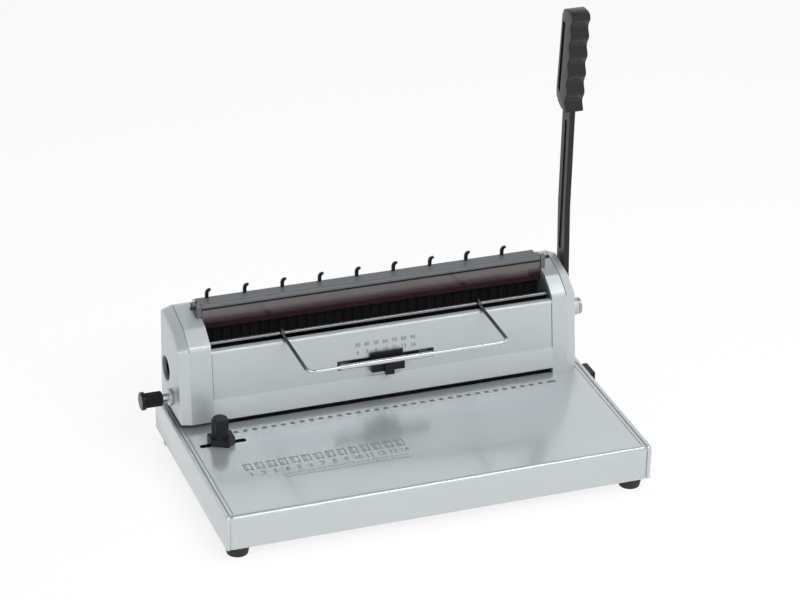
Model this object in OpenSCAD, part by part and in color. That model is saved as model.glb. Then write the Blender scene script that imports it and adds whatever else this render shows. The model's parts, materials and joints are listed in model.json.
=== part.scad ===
// Desk wire binding machine: a lever punches a row of square holes and closes the wire spine.
// Millimetres, +Z up, front of the machine towards -Y, floor at z = 0.

/* [Base] */
// Width of the base
base_w = 376; // [340:1:420]
// Depth of the base
base_d = 212; // [190:1:240]
// Height of the base above its feet
base_h = 30.5; // [28:0.5:40]
// Wall of the base shell
base_t = 2.5; // [1.5:0.5:4]
// Corner radius of the base in plan
base_corner = 7; // [6:1:20]
// Rounding of the base's top edge
base_edge = 5; // [3:0.5:5.5]
// Thickness of the bottom plate
plate_t = 2; // [1.5:0.5:3]
// Height of the rubber feet
foot_h = 11; // [9:0.5:16]
// Diameter of a foot where it meets the base
foot_d = 22; // [16:1:24]
// Distance of a foot's centre from the base's sides
foot_inset = 13; // [13:0.5:20]

/* [Head] */
// Width of the head over both end caps
head_w = 363; // [323:1:376]
// Offset of the head's middle from the base's middle
head_x = -1.5; // [-3:0.5:0]
// Width of the left end cap
cap_left_w = 29; // [26:0.5:31]
// Width of the right end cap
cap_right_w = 23; // [21:0.5:26]
// Lower front edge of the head, measured forward from the base's back edge
head_front = 66; // [65:0.5:68]
// How far the front face leans back at the shoulder
head_lean = 10; // [8:0.5:10.5]
// Height of the front shoulder above the base
shoulder_h = 74.5; // [73:0.5:78]
// Crease of the end caps' roof, measured forward from the base's back edge
crease_y = 36; // [34:0.5:40]
// Height of the roof's crease above the base
crease_h = 84; // [82:0.5:85]
// Height of the head's rear edge above the base
rear_h = 90.5; // [88:0.5:93]
// Paper gap between the base and the head
throat = 5; // [4.5:0.1:6]
// Wall of the end caps
cap_wall = 2.5; // [2:0.1:3]
// Rounding of the caps' outer edges
cap_edge = 4.5; // [3:0.5:6]
// Rounding of the front shoulder
shoulder_r = 7; // [6:0.5:9]
// Sheet thickness of the front panel
panel_t = 1.5; // [1:0.1:1.7]
// Height of the front panel's top edge above the base
panel_h = 67.5; // [66:0.5:68]
// Thickness of the side plates
side_t = 4; // [3:0.5:5]
// Sheet thickness of the rear cover
rear_t = 1.6; // [1.2:0.1:2.4]

/* [Punch] */
// Most punch pins that the row holds
pin_count = 34; // [24:1:34]
// Pitch of the pins, three to the inch
pin_pitch = 8.4667; // [8.2:0.0001:8.5]
// Side of a square pin
pin_size = 4; // [3.5:0.1:4.4]
// Punch line, measured forward from the base's back edge
punch_y = 48; // [47.5:0.1:48.5]
// Thickness of the die plate
die_t = 10; // [8:0.5:11]
// Depth of the die plate
die_d = 30; // [28:0.5:31]
// Thickness of the guide plate
guide_t = 8; // [7:0.5:8]
// Thickness of the pin clamp bar
clamp_t = 7; // [6:0.5:7]
// Height of the punch beam
beam_h = 15.5; // [14:0.5:15.5]
// Depth of the punch beam and the clamp bar
beam_d = 15.5; // [15:0.1:16]
// Diameter of the guide posts
post_d = 5; // [4:0.1:5.2]
// Wire of the return springs
spring_wire = 0.8; // [0.6:0.1:0.8]
// Turns of a return spring
spring_turns = 7; // [5:1:8]
// Height of the tie bar
tie_h = 7; // [6:0.5:7]

/* [Drive] */
// Lever pivot, measured forward from the base's back edge
pivot_y = 18; // [17:0.1:19]
// Lever pivot above the base
pivot_h = 36.5; // [36.5:0.1:38]
// Diameter of the main shaft
shaft_d = 10; // [8:0.5:11]
// Module of the pinions and racks
gear_module = 1; // [0.95:0.05:1]
// Teeth of a pinion, in multiples of four
gear_teeth = 16; // [16:4:16]
// Pressure angle of the teeth
gear_angle = 25; // [22:1:26]
// Play between the teeth
gear_play = 0.24; // [0.16:0.02:0.3]
// Length of a pinion
pinion_l = 24; // [20:1:26]
// Distance of the pinions from the middle
pinion_x = 110; // [90:1:120]
// Forward swing of the lever in degrees
lever_swing = 70; // [50:1:70]
// Thickness of the lever arm
lever_t = 5; // [4:0.5:6]
// Width of the lever arm
lever_w = 16; // [14:0.5:18]
// Height of the grip's top above the pivot
lever_reach = 287; // [260:1:320]
// Length of the grip
grip_l = 93; // [85:1:100]
// Width of the grip
grip_w = 17; // [15:0.5:19]
// Depth of the grip from back to front
grip_d = 23; // [21:0.5:24]
// Finger waves on the grip
grip_waves = 5; // [4:1:6]
// Radius of the lever's hub
hub_r = 8; // [7.5:0.5:10]
// Length of the lever's hub
hub_l = 11.5; // [9:0.5:14]

/* [Closer] */
// Front face of the closing jaw, measured forward from the base's back edge
jaw_y = 24; // [23:0.1:25]
// Thickness of the closing jaw
jaw_t = 6; // [5:0.5:7]
// Top of the closing jaw above the base
jaw_h = 72; // [70:0.5:73]
// Thickness of the carriage under the jaw
carriage_t = 4; // [3:0.5:4]
// Height of the closing bed
bed_h = 6; // [5:0.5:7]
// Width of a wire notch in the jaw and the bed
notch_w = 3; // [2:0.1:4]
// Depth of a wire notch
notch_d = 1.6; // [1:0.1:2]

/* [Top] */
// Hinge line of the smoked flap, measured forward from the base's back edge
flap_y = 25.5; // [25:0.1:26]
// Height of the flap's hinge above the base
flap_h = 94.5; // [93:0.5:96]
// Sheet thickness of the flap
flap_t = 2.5; // [2:0.1:3]
// Drop of the flap below its hinge
flap_drop = 20; // [16:0.5:20.5]
// Diameter of the flap's pin
flap_pin_d = 3; // [2.5:0.1:3.5]
// Depth of the hook rail
rail_d = 13.5; // [12:0.5:14]
// Sheet thickness of the hook rail
rail_t = 2; // [1.5:0.1:2.5]
// Most wire hooks on the rail
hook_count = 9; // [5:1:9]
// Pins between one hook and the next
hook_step = 4; // [3:1:4]
// Wire of the hooks
hook_wire = 2.4; // [1.8:0.1:2.8]
// Height of the hooks
hook_h = 8; // [6:0.5:10]
// Rod on the front edge of the head, measured forward from the base's back edge
rod_y = 46; // [45.5:0.1:47]
// Height of the rod above the base
rod_h = 69.4; // [69:0.1:69.6]
// Diameter of the rod
rod_d = 4; // [3.5:0.1:4.2]
// Wire of the bail
bail_wire = 3; // [2.4:0.1:3.4]
// Reach of the bail in front of the rod
bail_reach = 73; // [55:1:78]
// Left eye of the bail from the middle
bail_left = 88; // [70:1:100]
// Right eye of the bail from the middle
bail_right = 92; // [70:1:100]

/* [Controls] */
// Height of the selector above the base
selector_h = 37.5; // [35:0.5:40]
// Width of the selector's knob
selector_w = 30; // [24:1:32]
// Travel of the selector each way
selector_travel = 36; // [30:1:40]
// Margin shaft, measured forward from the base's back edge
margin_y = 34; // [33.7:0.1:34.5]
// Height of the margin shaft above the base
margin_h = 17; // [16.5:0.1:17.2]
// Diameter of the margin shaft
margin_d = 7; // [6:0.1:7.2]
// Reach of the margin knob past the left cap
margin_reach = 27.5; // [25:0.5:34]
// Length of the margin knob
margin_knob_l = 19; // [16:0.5:20]
// Edge guide's slot, measured forward from the base's back edge
guide_y = 95; // [90:0.5:100]
// Left end of the edge guide's slot from the base's left side
guide_slot_left = 12; // [10:1:16]
// Length of the edge guide's slot
guide_slot_l = 41; // [36:1:46]
// Edge guide's stud from the base's left side
guide_x = 30; // [26:1:34]
// Diameter of the edge guide's stud
stud_d = 5; // [4:0.1:5.4]
// Radius of the edge guide's clamp knob
guide_knob_r = 8.5; // [7:0.5:9]
// Height of the edge guide's clamp knob
guide_knob_h = 18; // [15:0.5:22]

/* [Chip tray] */
// Width of the chip tray
tray_d = 21; // [18:0.5:21]
// Wall of the chip tray
tray_wall = 1.5; // [1:0.1:2]
// Length of the chip tray inside the base
tray_l = 322; // [280:1:330]
// Reach of the tray's pull outside the base
pull_l = 12.5; // [9:0.5:14]

/* [Clearances] */
// Radial clearance of shafts and pins that turn
run_gap = 0.05; // [0.03:0.01:0.08]
// Radial clearance of parts fixed in a bore
fix_gap = 0.02; // [0.01:0.01:0.03]
// Clearance of sliding faces
slide_gap = 0.3; // [0.25:0.05:0.4]
// Clearance at the end of a stroke
stop_gap = 1.3; // [1:0.1:1.5]

/* [Hidden] */
$fn = 48;
eps = 0.01;

// Levels of the base and the head
base_top = foot_h + base_h;
base_floor = foot_h + plate_t;
under_top = base_top - base_t;
head_bottom = base_top + throat;
shoulder_z = base_top + shoulder_h;
rear_z = base_top + rear_h;
head_back = base_d / 2;
face_y = head_back - head_front;
punch_line = head_back - punch_y;
shaft_y = head_back - pivot_y;
jaw_face = head_back - jaw_y;
hinge_y = head_back - flap_y;
rod_line = head_back - rod_y;
stop_y = head_back - margin_y;
slot_y = head_back - guide_y;
panel_top = base_top + panel_h;

// Ends of the head
cap_left = head_x - head_w / 2;
cap_right = head_x + head_w / 2;
left_x = cap_left + cap_left_w;
right_x = cap_right - cap_right_w;
inside_w = right_x - left_x;
panel_mid = (left_x + right_x) / 2;

// Leaning front face
lean_k = head_lean / (shoulder_z - head_bottom);
lean_a = atan(lean_k);
function front_at(z) = face_y + (z - head_bottom) * lean_k;
shoulder_cz = shoulder_z - shoulder_r;
shoulder_cy = front_at(shoulder_cz) + shoulder_r / cos(lean_a);
rear_r = 8;
crease_r = 8;
crease_cy = head_back - crease_y;
crease_cz = base_top + crease_h - crease_r;
seat_gap = 0.2;
rear_foot = 14;
rail_lip = 2;
rear_cy = head_back - rear_r;
rear_cz = rear_z - rear_r;
top_k = (rear_z - shoulder_z) / (rear_cy - shoulder_cy);
function roof_at(y) = shoulder_z + (y - shoulder_cy) * top_k;

// Drive
pivot_z = base_top + pivot_h;
gear_r = gear_module * gear_teeth / 2;
gear_add = 0.8 * gear_module;
gear_ded = 1.05 * gear_module;
rack_p = PI * gear_module;
stroke = gear_r * lever_swing * PI / 180;
rack_teeth = ceil(stroke / rack_p - 0.5) + 2;
rack_low = -rack_p;
rack_high = (rack_teeth - 1) * rack_p;
rack_split = 1;
rack_w = pinion_l / 2 - rack_split;
rack_step = 3;
rack_back = 5.5;
shaft_r = shaft_d / 2;
bush_wall = 4;
bush_r = shaft_r + bush_wall;
bush_flange = 1.5;
bush_rim = 2.5;
bush_reach = 1;
plug_r = 12;
plug_in = 0.8;
plug_hole = 2;
collar_l = 6;
washer_rim = 5;
collar_x = left_x - side_t - bush_flange - slide_gap;

// Punch stack, from the die up
die_y = face_y + 2;
guide_front = face_y + 5;
guide_top = head_bottom + guide_t;
beam_y = punch_line - beam_d / 2 + 0.25;
beam_back = beam_y + beam_d;
clamp_z = guide_top + stroke + stop_gap;
beam_z = clamp_z + clamp_t;
beam_top = beam_z + beam_h;
pin_tip_h = 0.8;
pin_tip = head_bottom + pin_tip_h;
pin_rim = 2;
pin_head = pin_size + pin_rim;
pin_head_h = 3;
tie_gap = 2;
tie_z = beam_top + tie_gap;
post_socket = 4;
tie_top = tie_z + tie_h;
tie_d = 14;
tie_y = beam_y - 0.5;
post_step = 7.8;
post_edge = 5.3;
beam_play = 0.6;
row_room = min(-left_x, right_x) - beam_play - post_edge - post_step;
pins = min(pin_count, 1 + floor(2 * row_room / pin_pitch));
post_x = (pins - 1) / 2 * pin_pitch + post_step;
beam_half = post_x + post_edge;
post_r = post_d / 2;
spring_room = 1;
spring_r = post_r + spring_room;
spring_play = 0.4;
pocket_r = spring_r + spring_wire / 2 + spring_play;
pocket_top = beam_z + beam_h * 0.55;
function pin_x(i) = (i - (pins - 1) / 2) * pin_pitch;

// Closer
rack_z = pivot_z + gear_r;
carriage_gap = 0.9;
carriage_z = pivot_z + rack_high + carriage_gap;
carriage_top = carriage_z + carriage_t;
carriage_back = shaft_y + rack_high + 0.4;
jaw_top = base_top + jaw_h;
bed_back = jaw_face - stroke - 0.7;
bed_top = tie_top + bed_h;

// Top
flap_z = base_top + flap_h;
knuckle_r = flap_pin_d / 2 + 1.5;
ear_r = flap_pin_d / 2 + 1.9;
flap_pin_end = 5;
rail_y = hinge_y + knuckle_r + 0.5;
rail_back = rail_y + rail_d;
rail_top = flap_z;
rod_z = base_top + rod_h;
rod_r = rod_d / 2;
bed_wall_y = rod_line + 2;
bed_wall_t = 4;
bed_wall_top = rod_z - 0.5;
bail_r = bail_wire / 2;
bail_bend = 8;
shelf_drop = 2.5;
shelf_z = rear_z - shelf_drop;

// Controls
selector_z = base_top + selector_h;
selector_slot_h = 6;
selector_neck_w = 12;
selector_stop = 1;
selector_slot_l = 2 * (selector_travel + selector_stop) + selector_neck_w;
bezel_t = 0.8;
bezel_side = 1;
bezel_rim = 1;
selector_d = 7;
selector_half = 8.2;
selector_tab_d = 11;
selector_tab_w = 8;
selector_tab_low = 10.5;
step_plate_t = 1.5;
step_low = 6;
step_first = 1;
step_run = 9;
step_rise = 0.8;
step_count = 7;
margin_z = base_top + margin_h;
margin_r = margin_d / 2;
margin_knob_r = 6.6;
margin_rib = 0.6;
margin_flange_r = 8;
margin_flange_l = 4;
margin_collar_r = 7.5;
margin_collar_l = 3;
finger_rim = 1.5;
finger_t = 3;
finger_l = margin_h - 0.5;
finger_w = 3.6;
finger_a = 22;
finger_x = 12 * pin_pitch;
block_z = base_top + slide_gap;
block_h = 6.5;
block_left = 9;
block_right = 12;
block_back = 9;
block_front = 10;
block_nose = 7;
clamp_plate_t = 3;
clamp_plate_w = 20;
clamp_plate_d = 14;
knob_rib = 0.7;
knob_dome = 1.5;
stud_below = 5;
knob_z = block_z + block_h + slide_gap;
stud_r = stud_d / 2;
stud_x = base_w / 2 - guide_x;

// Chip tray and its rails
rail_gap = tray_d + 2 * slide_gap;
tray_y = die_y + die_d / 2 + 0.5;
tray_rail_t = 6;
die_gap = 0.1;
die_z = base_top - die_t;
tray_top = die_z - 1;
tray_z = base_floor + slide_gap;
tray_right = base_w / 2 + slide_gap;
pull_t = 2.5;
pull_half = 11;
pull_low = 6;
pull_high = 13;
pull_rise = 1.5;

// Lever
lever_gap = 1.6;
lever_x = cap_right + lever_gap;
hub_x = lever_x + lever_t;
hub_end = hub_x + hub_l;
bolt_h = 3;
bend_h = 101;
bend_z = pivot_z + bend_h;
eye_rim = 2.5;
groove_r = 2.5;
groove_low = 60;
groove_high = 14;
groove_in = 1;
top_lean = 0.5;
bolt_rim = 2.5;
bolt_socket = 1.5;
bolt_key_r = 3;
bend_dy = 6.5;
grip_top = pivot_z + lever_reach;
grip_z = grip_top - grip_l;
grip_tip_shift = 5.5;
grip_behind = 17.5;
grip_back = shaft_y + grip_behind;
wave_d = 1.6;
grip_bore_r = 1.5;
grip_head_r = 3;
grip_head_in = 2.2;
grip_screw_in = 3.6;
recess_d = 1.2;

// Fasteners
screw_r = 2;
screw_head_r = 4;
screw_head_h = 2.6;
screw_socket = 1.4;
screw_key_r = 1.6;
foot_taper = 2;
foot_screw_l = 12;
head_screw_h = 3;
foot_x = base_w / 2 - foot_inset;
foot_y = base_d / 2 - foot_inset;
flange_w = 12;
head_screw_dx = 5;
corner_post_r = 5;
flange_t = throat;
side_foot_y = die_y + die_d + 2.5;
side_back = head_back - cap_wall - 0.2;
head_screw_end = 4;
head_screw_y = [side_foot_y + 6, side_back - head_screw_end];
frame_screw_r = 1.5;
frame_screw_l = 10;
clamp_screw_r = 1.25;
clamp_screw_l = 8;
clamp_head_r = 2;
clamp_head_h = 1.6;
clamp_screw_in = 2.3;
frame_points = [[guide_front + 4, head_bottom + guide_t / 2], [tie_y + 3.4, tie_z + tie_h / 2]];
cap_screw_r = 1;
cap_screw_l = 8;
cap_screw_head_r = 1.8;
cap_screw_head_h = 1.2;
cap_screw_play = 0.15;
cap_screw_low = 14;
cap_screw_high = 60;
cap_screw_z = [head_bottom + cap_screw_low, head_bottom + cap_screw_high];
rear_screw_in = 8;
rear_screw_head = 2;

// The origin is the middle of everything at the floor
reach_left = margin_reach - cap_left;
reach_right = hub_end + bolt_h;
body_x = (reach_left - reach_right) / 2;

module place() {
    translate([body_x, 0, 0])
        children();
}

// Outline drawn in depth and height, pushed along the width
module along_x(x0, x1) {
    translate([x0, 0, 0])
        rotate([90, 0, 90])
            linear_extrude(x1 - x0)
                children();
}

module rod_x(x0, x1, r, y, z) {
    translate([x0, y, z])
        rotate([0, 90, 0])
            cylinder(h = x1 - x0, r = r);
}

module rod_z(x, y, z0, z1, r) {
    translate([x, y, z0])
        cylinder(h = z1 - z0, r = r);
}

module box(x0, x1, y0, y1, z0, z1) {
    translate([x0, y0, z0])
        cube([x1 - x0, y1 - y0, z1 - z0]);
}

// Local frame on the leaning front face: +Z up the face, -Y out of it
module on_front(z) {
    translate([0, front_at(z), z])
        rotate([-lean_a, 0, 0])
            children();
}

module four_corners(x, y) {
    for (sx = [-1, 1])
        for (sy = [-1, 1])
            translate([sx * x, sy * y, 0])
                children();
}

// Knurled or ribbed outline
module ribbed(r, depth, count) {
    polygon([for (i = [0 : 2 * count - 1])
        let (a = i * 180 / count, q = i % 2 == 0 ? r : r - depth) [q * cos(a), q * sin(a)]]);
}

// Base

module base_outer() {
    hull()
        four_corners(base_w / 2 - base_corner, base_d / 2 - base_corner)
            rotate_extrude($fn = 32)
                polygon(concat([[0, foot_h], [base_corner, foot_h]],
                    [for (a = [0 : 15 : 90])
                        [base_corner - base_edge * (1 - cos(a)), base_top - base_edge * (1 - sin(a))]],
                    [[0, base_top]]));
}

module base_inner() {
    hull()
        four_corners(base_w / 2 - base_corner, base_d / 2 - base_corner)
            translate([0, 0, foot_h - 1])
                cylinder(r = base_corner - base_t, h = base_h - base_t + 1, $fn = 32);
}

module guide_slot() {
    slot_end = guide_slot_l - stud_d - 2 * slide_gap;
    translate([guide_slot_left - base_w / 2, slot_y, under_top - 1]) {
        translate([stud_r + slide_gap, -stud_r - slide_gap, 0])
            cube([slot_end, stud_d + 2 * slide_gap, base_t + 2]);
        for (dx = [0, slot_end])
            translate([stud_r + slide_gap + dx, 0, 0])
                cylinder(r = stud_r + slide_gap, h = base_t + 2);
    }
}

module head_screw_places() {
    wall = base_w / 2 - base_t - screw_head_r - slide_gap;
    for (y = head_screw_y)
        for (x = [max(left_x - side_t - head_screw_dx, -wall), min(right_x + side_t + head_screw_dx, wall)])
            translate([x, y, 0])
                children();
}

module rear_screw_places() {
    for (x = [left_x + inside_w * 0.2, left_x + inside_w * 0.8])
        translate([x, head_back - rear_screw_in, 0])
            children();
}

module base_shell() {
    place()
        color([0.72, 0.74, 0.75])
            difference() {
                union() {
                    difference() {
                        base_outer();
                        base_inner();
                    }
                    four_corners(foot_x, foot_y)
                        rod_z(0, 0, base_floor, under_top + eps, corner_post_r);
                }
                four_corners(foot_x, foot_y)
                    rod_z(0, 0, base_floor - 1, base_floor + foot_screw_l + 2, screw_r + fix_gap);
                box(left_x - die_gap, right_x + die_gap, die_y - die_gap, die_y + die_d + die_gap,
                    under_top - 1, base_top + 1);
                guide_slot();
                head_screw_places()
                    rod_z(0, 0, under_top - 1, base_top + 1, screw_r + seat_gap);
                rear_screw_places()
                    rod_z(0, 0, under_top - 1, base_top + 1, frame_screw_r + fix_gap);
                box(base_w / 2 - base_t - 1, base_w / 2 + 1, tray_y - rail_gap / 2, tray_y + rail_gap / 2,
                    foot_h - 1, tray_top + slide_gap);
            }
}

module base_bottom_plate() {
    gap = base_t + seat_gap;
    place()
        color([0.25, 0.26, 0.27])
            difference() {
                translate([0, 0, foot_h])
                    linear_extrude(plate_t)
                        difference() {
                            union() {
                                square([base_w - 2 * base_corner, base_d - 2 * gap], center = true);
                                square([base_w - 2 * gap, base_d - 2 * base_corner], center = true);
                                four_corners(base_w / 2 - base_corner, base_d / 2 - base_corner)
                                    circle(r = base_corner - gap);
                            }
                            four_corners(foot_x, foot_y)
                                circle(r = screw_r + seat_gap);
                        }
            }
}

module rubber_feet() {
    place()
        color([0.06, 0.06, 0.06])
            four_corners(foot_x, foot_y)
                difference() {
                    cylinder(h = foot_h, r1 = foot_d / 2 - foot_taper, r2 = foot_d / 2);
                    rod_z(0, 0, -1, foot_h + 1, screw_r + seat_gap);
                    rod_z(0, 0, -1, foot_h / 2, screw_head_r + 2 * seat_gap);
                }
}

module foot_screws() {
    place()
        color([0.7, 0.7, 0.72])
            four_corners(foot_x, foot_y) {
                rod_z(0, 0, foot_h / 2 - eps, base_floor + foot_screw_l, screw_r);
                difference() {
                    rod_z(0, 0, foot_h / 2 - screw_head_h, foot_h / 2, screw_head_r);
                    rod_z(0, 0, foot_h / 2 - screw_head_h - 1, foot_h / 2 - screw_head_h + screw_socket,
                        screw_key_r, $fn = 6);
                }
            }
}

module tray_rails() {
    place()
        color([0.45, 0.46, 0.48])
            for (s = [-1, 1])
                translate([0, tray_y + s * (rail_gap + tray_rail_t) / 2, 0])
                    box(left_x + 2, right_x - 2, -tray_rail_t / 2, tray_rail_t / 2, base_floor, die_z);
}

// Frame of the head

module pin_squares(extra) {
    for (i = [0 : pins - 1])
        translate([pin_x(i), punch_line])
            square(pin_size + extra, center = true);
}

module die_plate() {
    place()
        color([0.55, 0.56, 0.58])
            translate([0, 0, die_z])
                linear_extrude(die_t)
                    difference() {
                        translate([left_x, die_y])
                            square([inside_w, die_d]);
                        pin_squares(0.2);
                    }
}

module guide_plate() {
    place()
        color([0.5, 0.51, 0.53])
            difference() {
                translate([0, 0, head_bottom])
                    linear_extrude(guide_t)
                        difference() {
                            translate([left_x, guide_front])
                                square([inside_w, beam_back - guide_front]);
                            pin_squares(0.2);
                            for (x = [-finger_x, 0, finger_x])
                                translate([x - finger_w / 2 - 0.6, punch_line + 3])
                                    square([finger_w + 1.2, 20]);
                        }
                for (s = [-1, 1])
                    rod_z(s * post_x, punch_line, head_bottom - 1, guide_top + 1, post_r + fix_gap);
                frame_screw_bores(frame_points[0]);
            }
}

// Screw bores in both ends of a bar between the side plates
module frame_screw_bores(p) {
    rod_x(left_x - 1, left_x + frame_screw_l + 1, frame_screw_r + fix_gap, p[0], p[1]);
    rod_x(right_x - frame_screw_l - 1, right_x + 1, frame_screw_r + fix_gap, p[0], p[1]);
}

module side_profile(wall) {
    inset = wall / cos(lean_a);
    ear_front = hinge_y - ear_r;
    difference() {
        union() {
            polygon([
                [front_at(head_bottom) + inset, head_bottom + 0.2],
                [front_at(shoulder_cz) + inset, shoulder_cz],
                [shoulder_cy, roof_at(shoulder_cy) - wall],
                [ear_front, roof_at(ear_front) - wall],
                [ear_front, flap_z],
                [hinge_y, flap_z + ear_r],
                [hinge_y + ear_r, flap_z - rail_t - eps],
                [rail_back - rail_t, flap_z - rail_t - eps],
                [rail_back - rail_t, roof_at(rail_back) - wall - 0.4],
                [rear_cy, roof_at(rear_cy) - wall - 0.4],
                [side_back, rear_cz],
                [side_back, base_top],
                [side_foot_y, base_top],
                [side_foot_y, head_bottom + 0.2]
            ]);
            translate([hinge_y, flap_z])
                circle(r = ear_r);
        }
        translate([shaft_y, pivot_z])
            circle(r = bush_r + fix_gap);
        translate([hinge_y, flap_z])
            circle(r = flap_pin_d / 2 + fix_gap);
        translate([rod_line, rod_z])
            circle(r = rod_r + fix_gap);
        translate([stop_y, margin_z])
            circle(r = margin_r + run_gap);
        translate([bed_back, carriage_z - slide_gap])
            square([carriage_back - bed_back + 0.5, carriage_t + 2 * slide_gap]);
        for (p = frame_points)
            translate(p)
                circle(r = frame_screw_r + 0.15);
    }
}

module side_plate(x0, flange_x0) {
    place()
        color([0.12, 0.12, 0.13])
            difference() {
                union() {
                    along_x(x0, x0 + side_t)
                        side_profile(cap_wall + 0.2);
                    box(flange_x0, flange_x0 + flange_w + eps, side_foot_y, side_back,
                        base_top, base_top + flange_t);
                }
                head_screw_places()
                    rod_z(0, 0, base_top - 1, base_top + flange_t + 1, screw_r + fix_gap);
                for (z = cap_screw_z)
                    translate([x0 + side_t / 2, side_back - 6, z])
                        rotate([-90, 0, 0])
                            cylinder(r = cap_screw_r + fix_gap, h = cap_screw_l + 2);
            }
}

module side_plate_left() {
    side_plate(left_x - side_t, left_x - side_t - flange_w);
}

module side_plate_right() {
    side_plate(right_x, right_x + side_t - eps);
}

module tie_bar() {
    place()
        color([0.5, 0.51, 0.53])
            difference() {
                box(left_x, right_x, tie_y, tie_y + tie_d, tie_z, tie_top);
                for (s = [-1, 1])
                    rod_z(s * post_x, punch_line, tie_z - 1, tie_z + post_socket, post_r + fix_gap);
                frame_screw_bores(frame_points[1]);
            }
}

module frame_screw(y, z, x, s) {
    translate([x, y, z])
        rotate([0, s * 90, 0]) {
            translate([0, 0, -frame_screw_l])
                cylinder(h = frame_screw_l + side_t + eps, r = frame_screw_r);
            translate([0, 0, side_t])
                difference() {
                    cylinder(h = 2.2, r = 2 * frame_screw_r);
                    translate([0, 0, 1])
                        cylinder(h = 2, r = frame_screw_r * 0.7, $fn = 6);
                }
        }
}

module frame_screws() {
    place()
        color([0.75, 0.75, 0.77])
            for (p = frame_points) {
                frame_screw(p[0], p[1], left_x, -1);
                frame_screw(p[0], p[1], right_x, 1);
            }
}

module head_screws() {
    place()
        color([0.75, 0.75, 0.77])
            head_screw_places() {
                rod_z(0, 0, under_top - eps, base_top + flange_t - 0.5, screw_r);
                rod_z(0, 0, under_top - head_screw_h, under_top, screw_head_r);
            }
}

module guide_posts() {
    place()
        color([0.8, 0.8, 0.82])
            for (s = [-1, 1])
                rod_z(s * post_x, punch_line, head_bottom, tie_z + post_socket, post_r);
}

module shaft_bushes() {
    place()
        color([0.72, 0.55, 0.25])
            for (side = [[left_x - side_t, -1], [right_x + side_t, 1]])
                difference() {
                    union() {
                        rod_x(side[1] < 0 ? side[0] - bush_reach : side[0] - side_t,
                            side[1] < 0 ? side[0] + side_t : side[0] + bush_reach, bush_r, shaft_y, pivot_z);
                        rod_x(side[1] < 0 ? side[0] - bush_flange : side[0],
                            side[1] < 0 ? side[0] : side[0] + bush_flange, bush_r + bush_rim, shaft_y, pivot_z);
                    }
                    rod_x(side[0] - 20, side[0] + 20, shaft_r + run_gap, shaft_y, pivot_z);
                }
}

// Covers of the head

module front_panel() {
    inset = panel_t / cos(lean_a);
    lip_y = rod_line - rod_r - bail_wire - 0.8;
    place()
        color([0.74, 0.76, 0.77])
            difference() {
                along_x(left_x, right_x)
                    polygon(concat(
                        [[front_at(head_bottom), head_bottom]],
                        [for (a = [180 : -15 : 90])
                            let (r = 3, cz = panel_top - r, cy = front_at(cz) + r / cos(lean_a))
                                [cy + r * cos(a - lean_a * (a - 90) / 90), cz + r * sin(a)]],
                        [[lip_y, panel_top], [lip_y, panel_top - panel_t],
                        [front_at(panel_top - 3) + 3, panel_top - panel_t],
                        [front_at(panel_top - 3) + inset, panel_top - 3],
                        [front_at(head_bottom + panel_t) + inset, head_bottom + panel_t],
                        [guide_front, head_bottom + panel_t], [guide_front, head_bottom]]));
                on_front(selector_z)
                    box(panel_mid - selector_slot_l / 2, panel_mid + selector_slot_l / 2, -1, panel_t + 1,
                        -selector_slot_h / 2, selector_slot_h / 2);
            }
}

module rear_cover() {
    place()
        color([0.72, 0.74, 0.75])
            difference() {
                along_x(left_x, right_x)
                    polygon([
                        [head_back - rear_foot, base_top], [head_back, base_top], [head_back, shelf_z + rear_t],
                        [rail_back, shelf_z + rear_t], [rail_back, shelf_z], [head_back - rear_t, shelf_z],
                        [head_back - rear_t, base_top + rear_t], [head_back - rear_foot, base_top + rear_t]
                    ]);
                rear_screw_places()
                    rod_z(0, 0, base_top - 1, base_top + rear_t + 1, frame_screw_r + seat_gap);
            }
}

module rear_screws() {
    place()
        color([0.75, 0.75, 0.77])
            rear_screw_places() {
                rod_z(0, 0, under_top - rear_screw_head, base_top + rear_t + eps, frame_screw_r);
                rod_z(0, 0, base_top + rear_t, base_top + rear_t + rear_screw_head, 2 * frame_screw_r);
            }
}

// One slice of an end cap, shrunk by e on its free sides
module cap_slice(x, e, low) {
    inset = e / cos(lean_a);
    translate([x, 0, 0]) {
        translate([0, front_at(low) + inset, low])
            cube([eps, eps, eps]);
        translate([0, head_back - e - eps, low])
            cube([eps, eps, eps]);
        translate([0, shoulder_cy, shoulder_cz])
            rotate([0, 90, 0])
                cylinder(h = eps, r = shoulder_r - e, $fn = 32);
        for (c = [[crease_cy, crease_cz, crease_r], [rear_cy, rear_cz, rear_r]])
            translate([0, c[0], c[1]])
                rotate([0, 90, 0])
                    cylinder(h = eps, r = c[2] - e, $fn = 32);
    }
}

module cap_solid(inner, outer, low) {
    hull() {
        cap_slice(inner, 0, low);
        cap_slice(outer - cap_edge, 0, low);
        cap_slice(outer - cap_edge * 0.3, cap_edge * 0.29, low);
        cap_slice(outer - eps, cap_edge * 0.8, low);
    }
}

module cap_hollow(inner, outer, low) {
    hull() {
        cap_slice(inner - 1, cap_wall, low - 1);
        cap_slice(outer - cap_edge, cap_wall, low - 1);
        cap_slice(outer - cap_wall, cap_wall + cap_edge * 0.5, low - 1);
    }
}

// Notch for the side plate's ear, and the screw holes in the rear wall
module cap_cuts(x0, x1) {
    box(x0, x1, hinge_y - ear_r - 0.5, rail_back + 0.2, shoulder_z - 6, rail_top + 10);
    for (z = cap_screw_z)
        translate([x0 + 1 + side_t / 2, head_back, z])
            rotate([90, 0, 0]) {
                translate([0, 0, -1])
                    cylinder(h = cap_screw_l + 2, r = cap_screw_r + cap_screw_play);
                translate([0, 0, -1])
                    cylinder(h = cap_screw_head_h + 1, r = cap_screw_head_r + cap_screw_play);
            }
}

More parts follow.
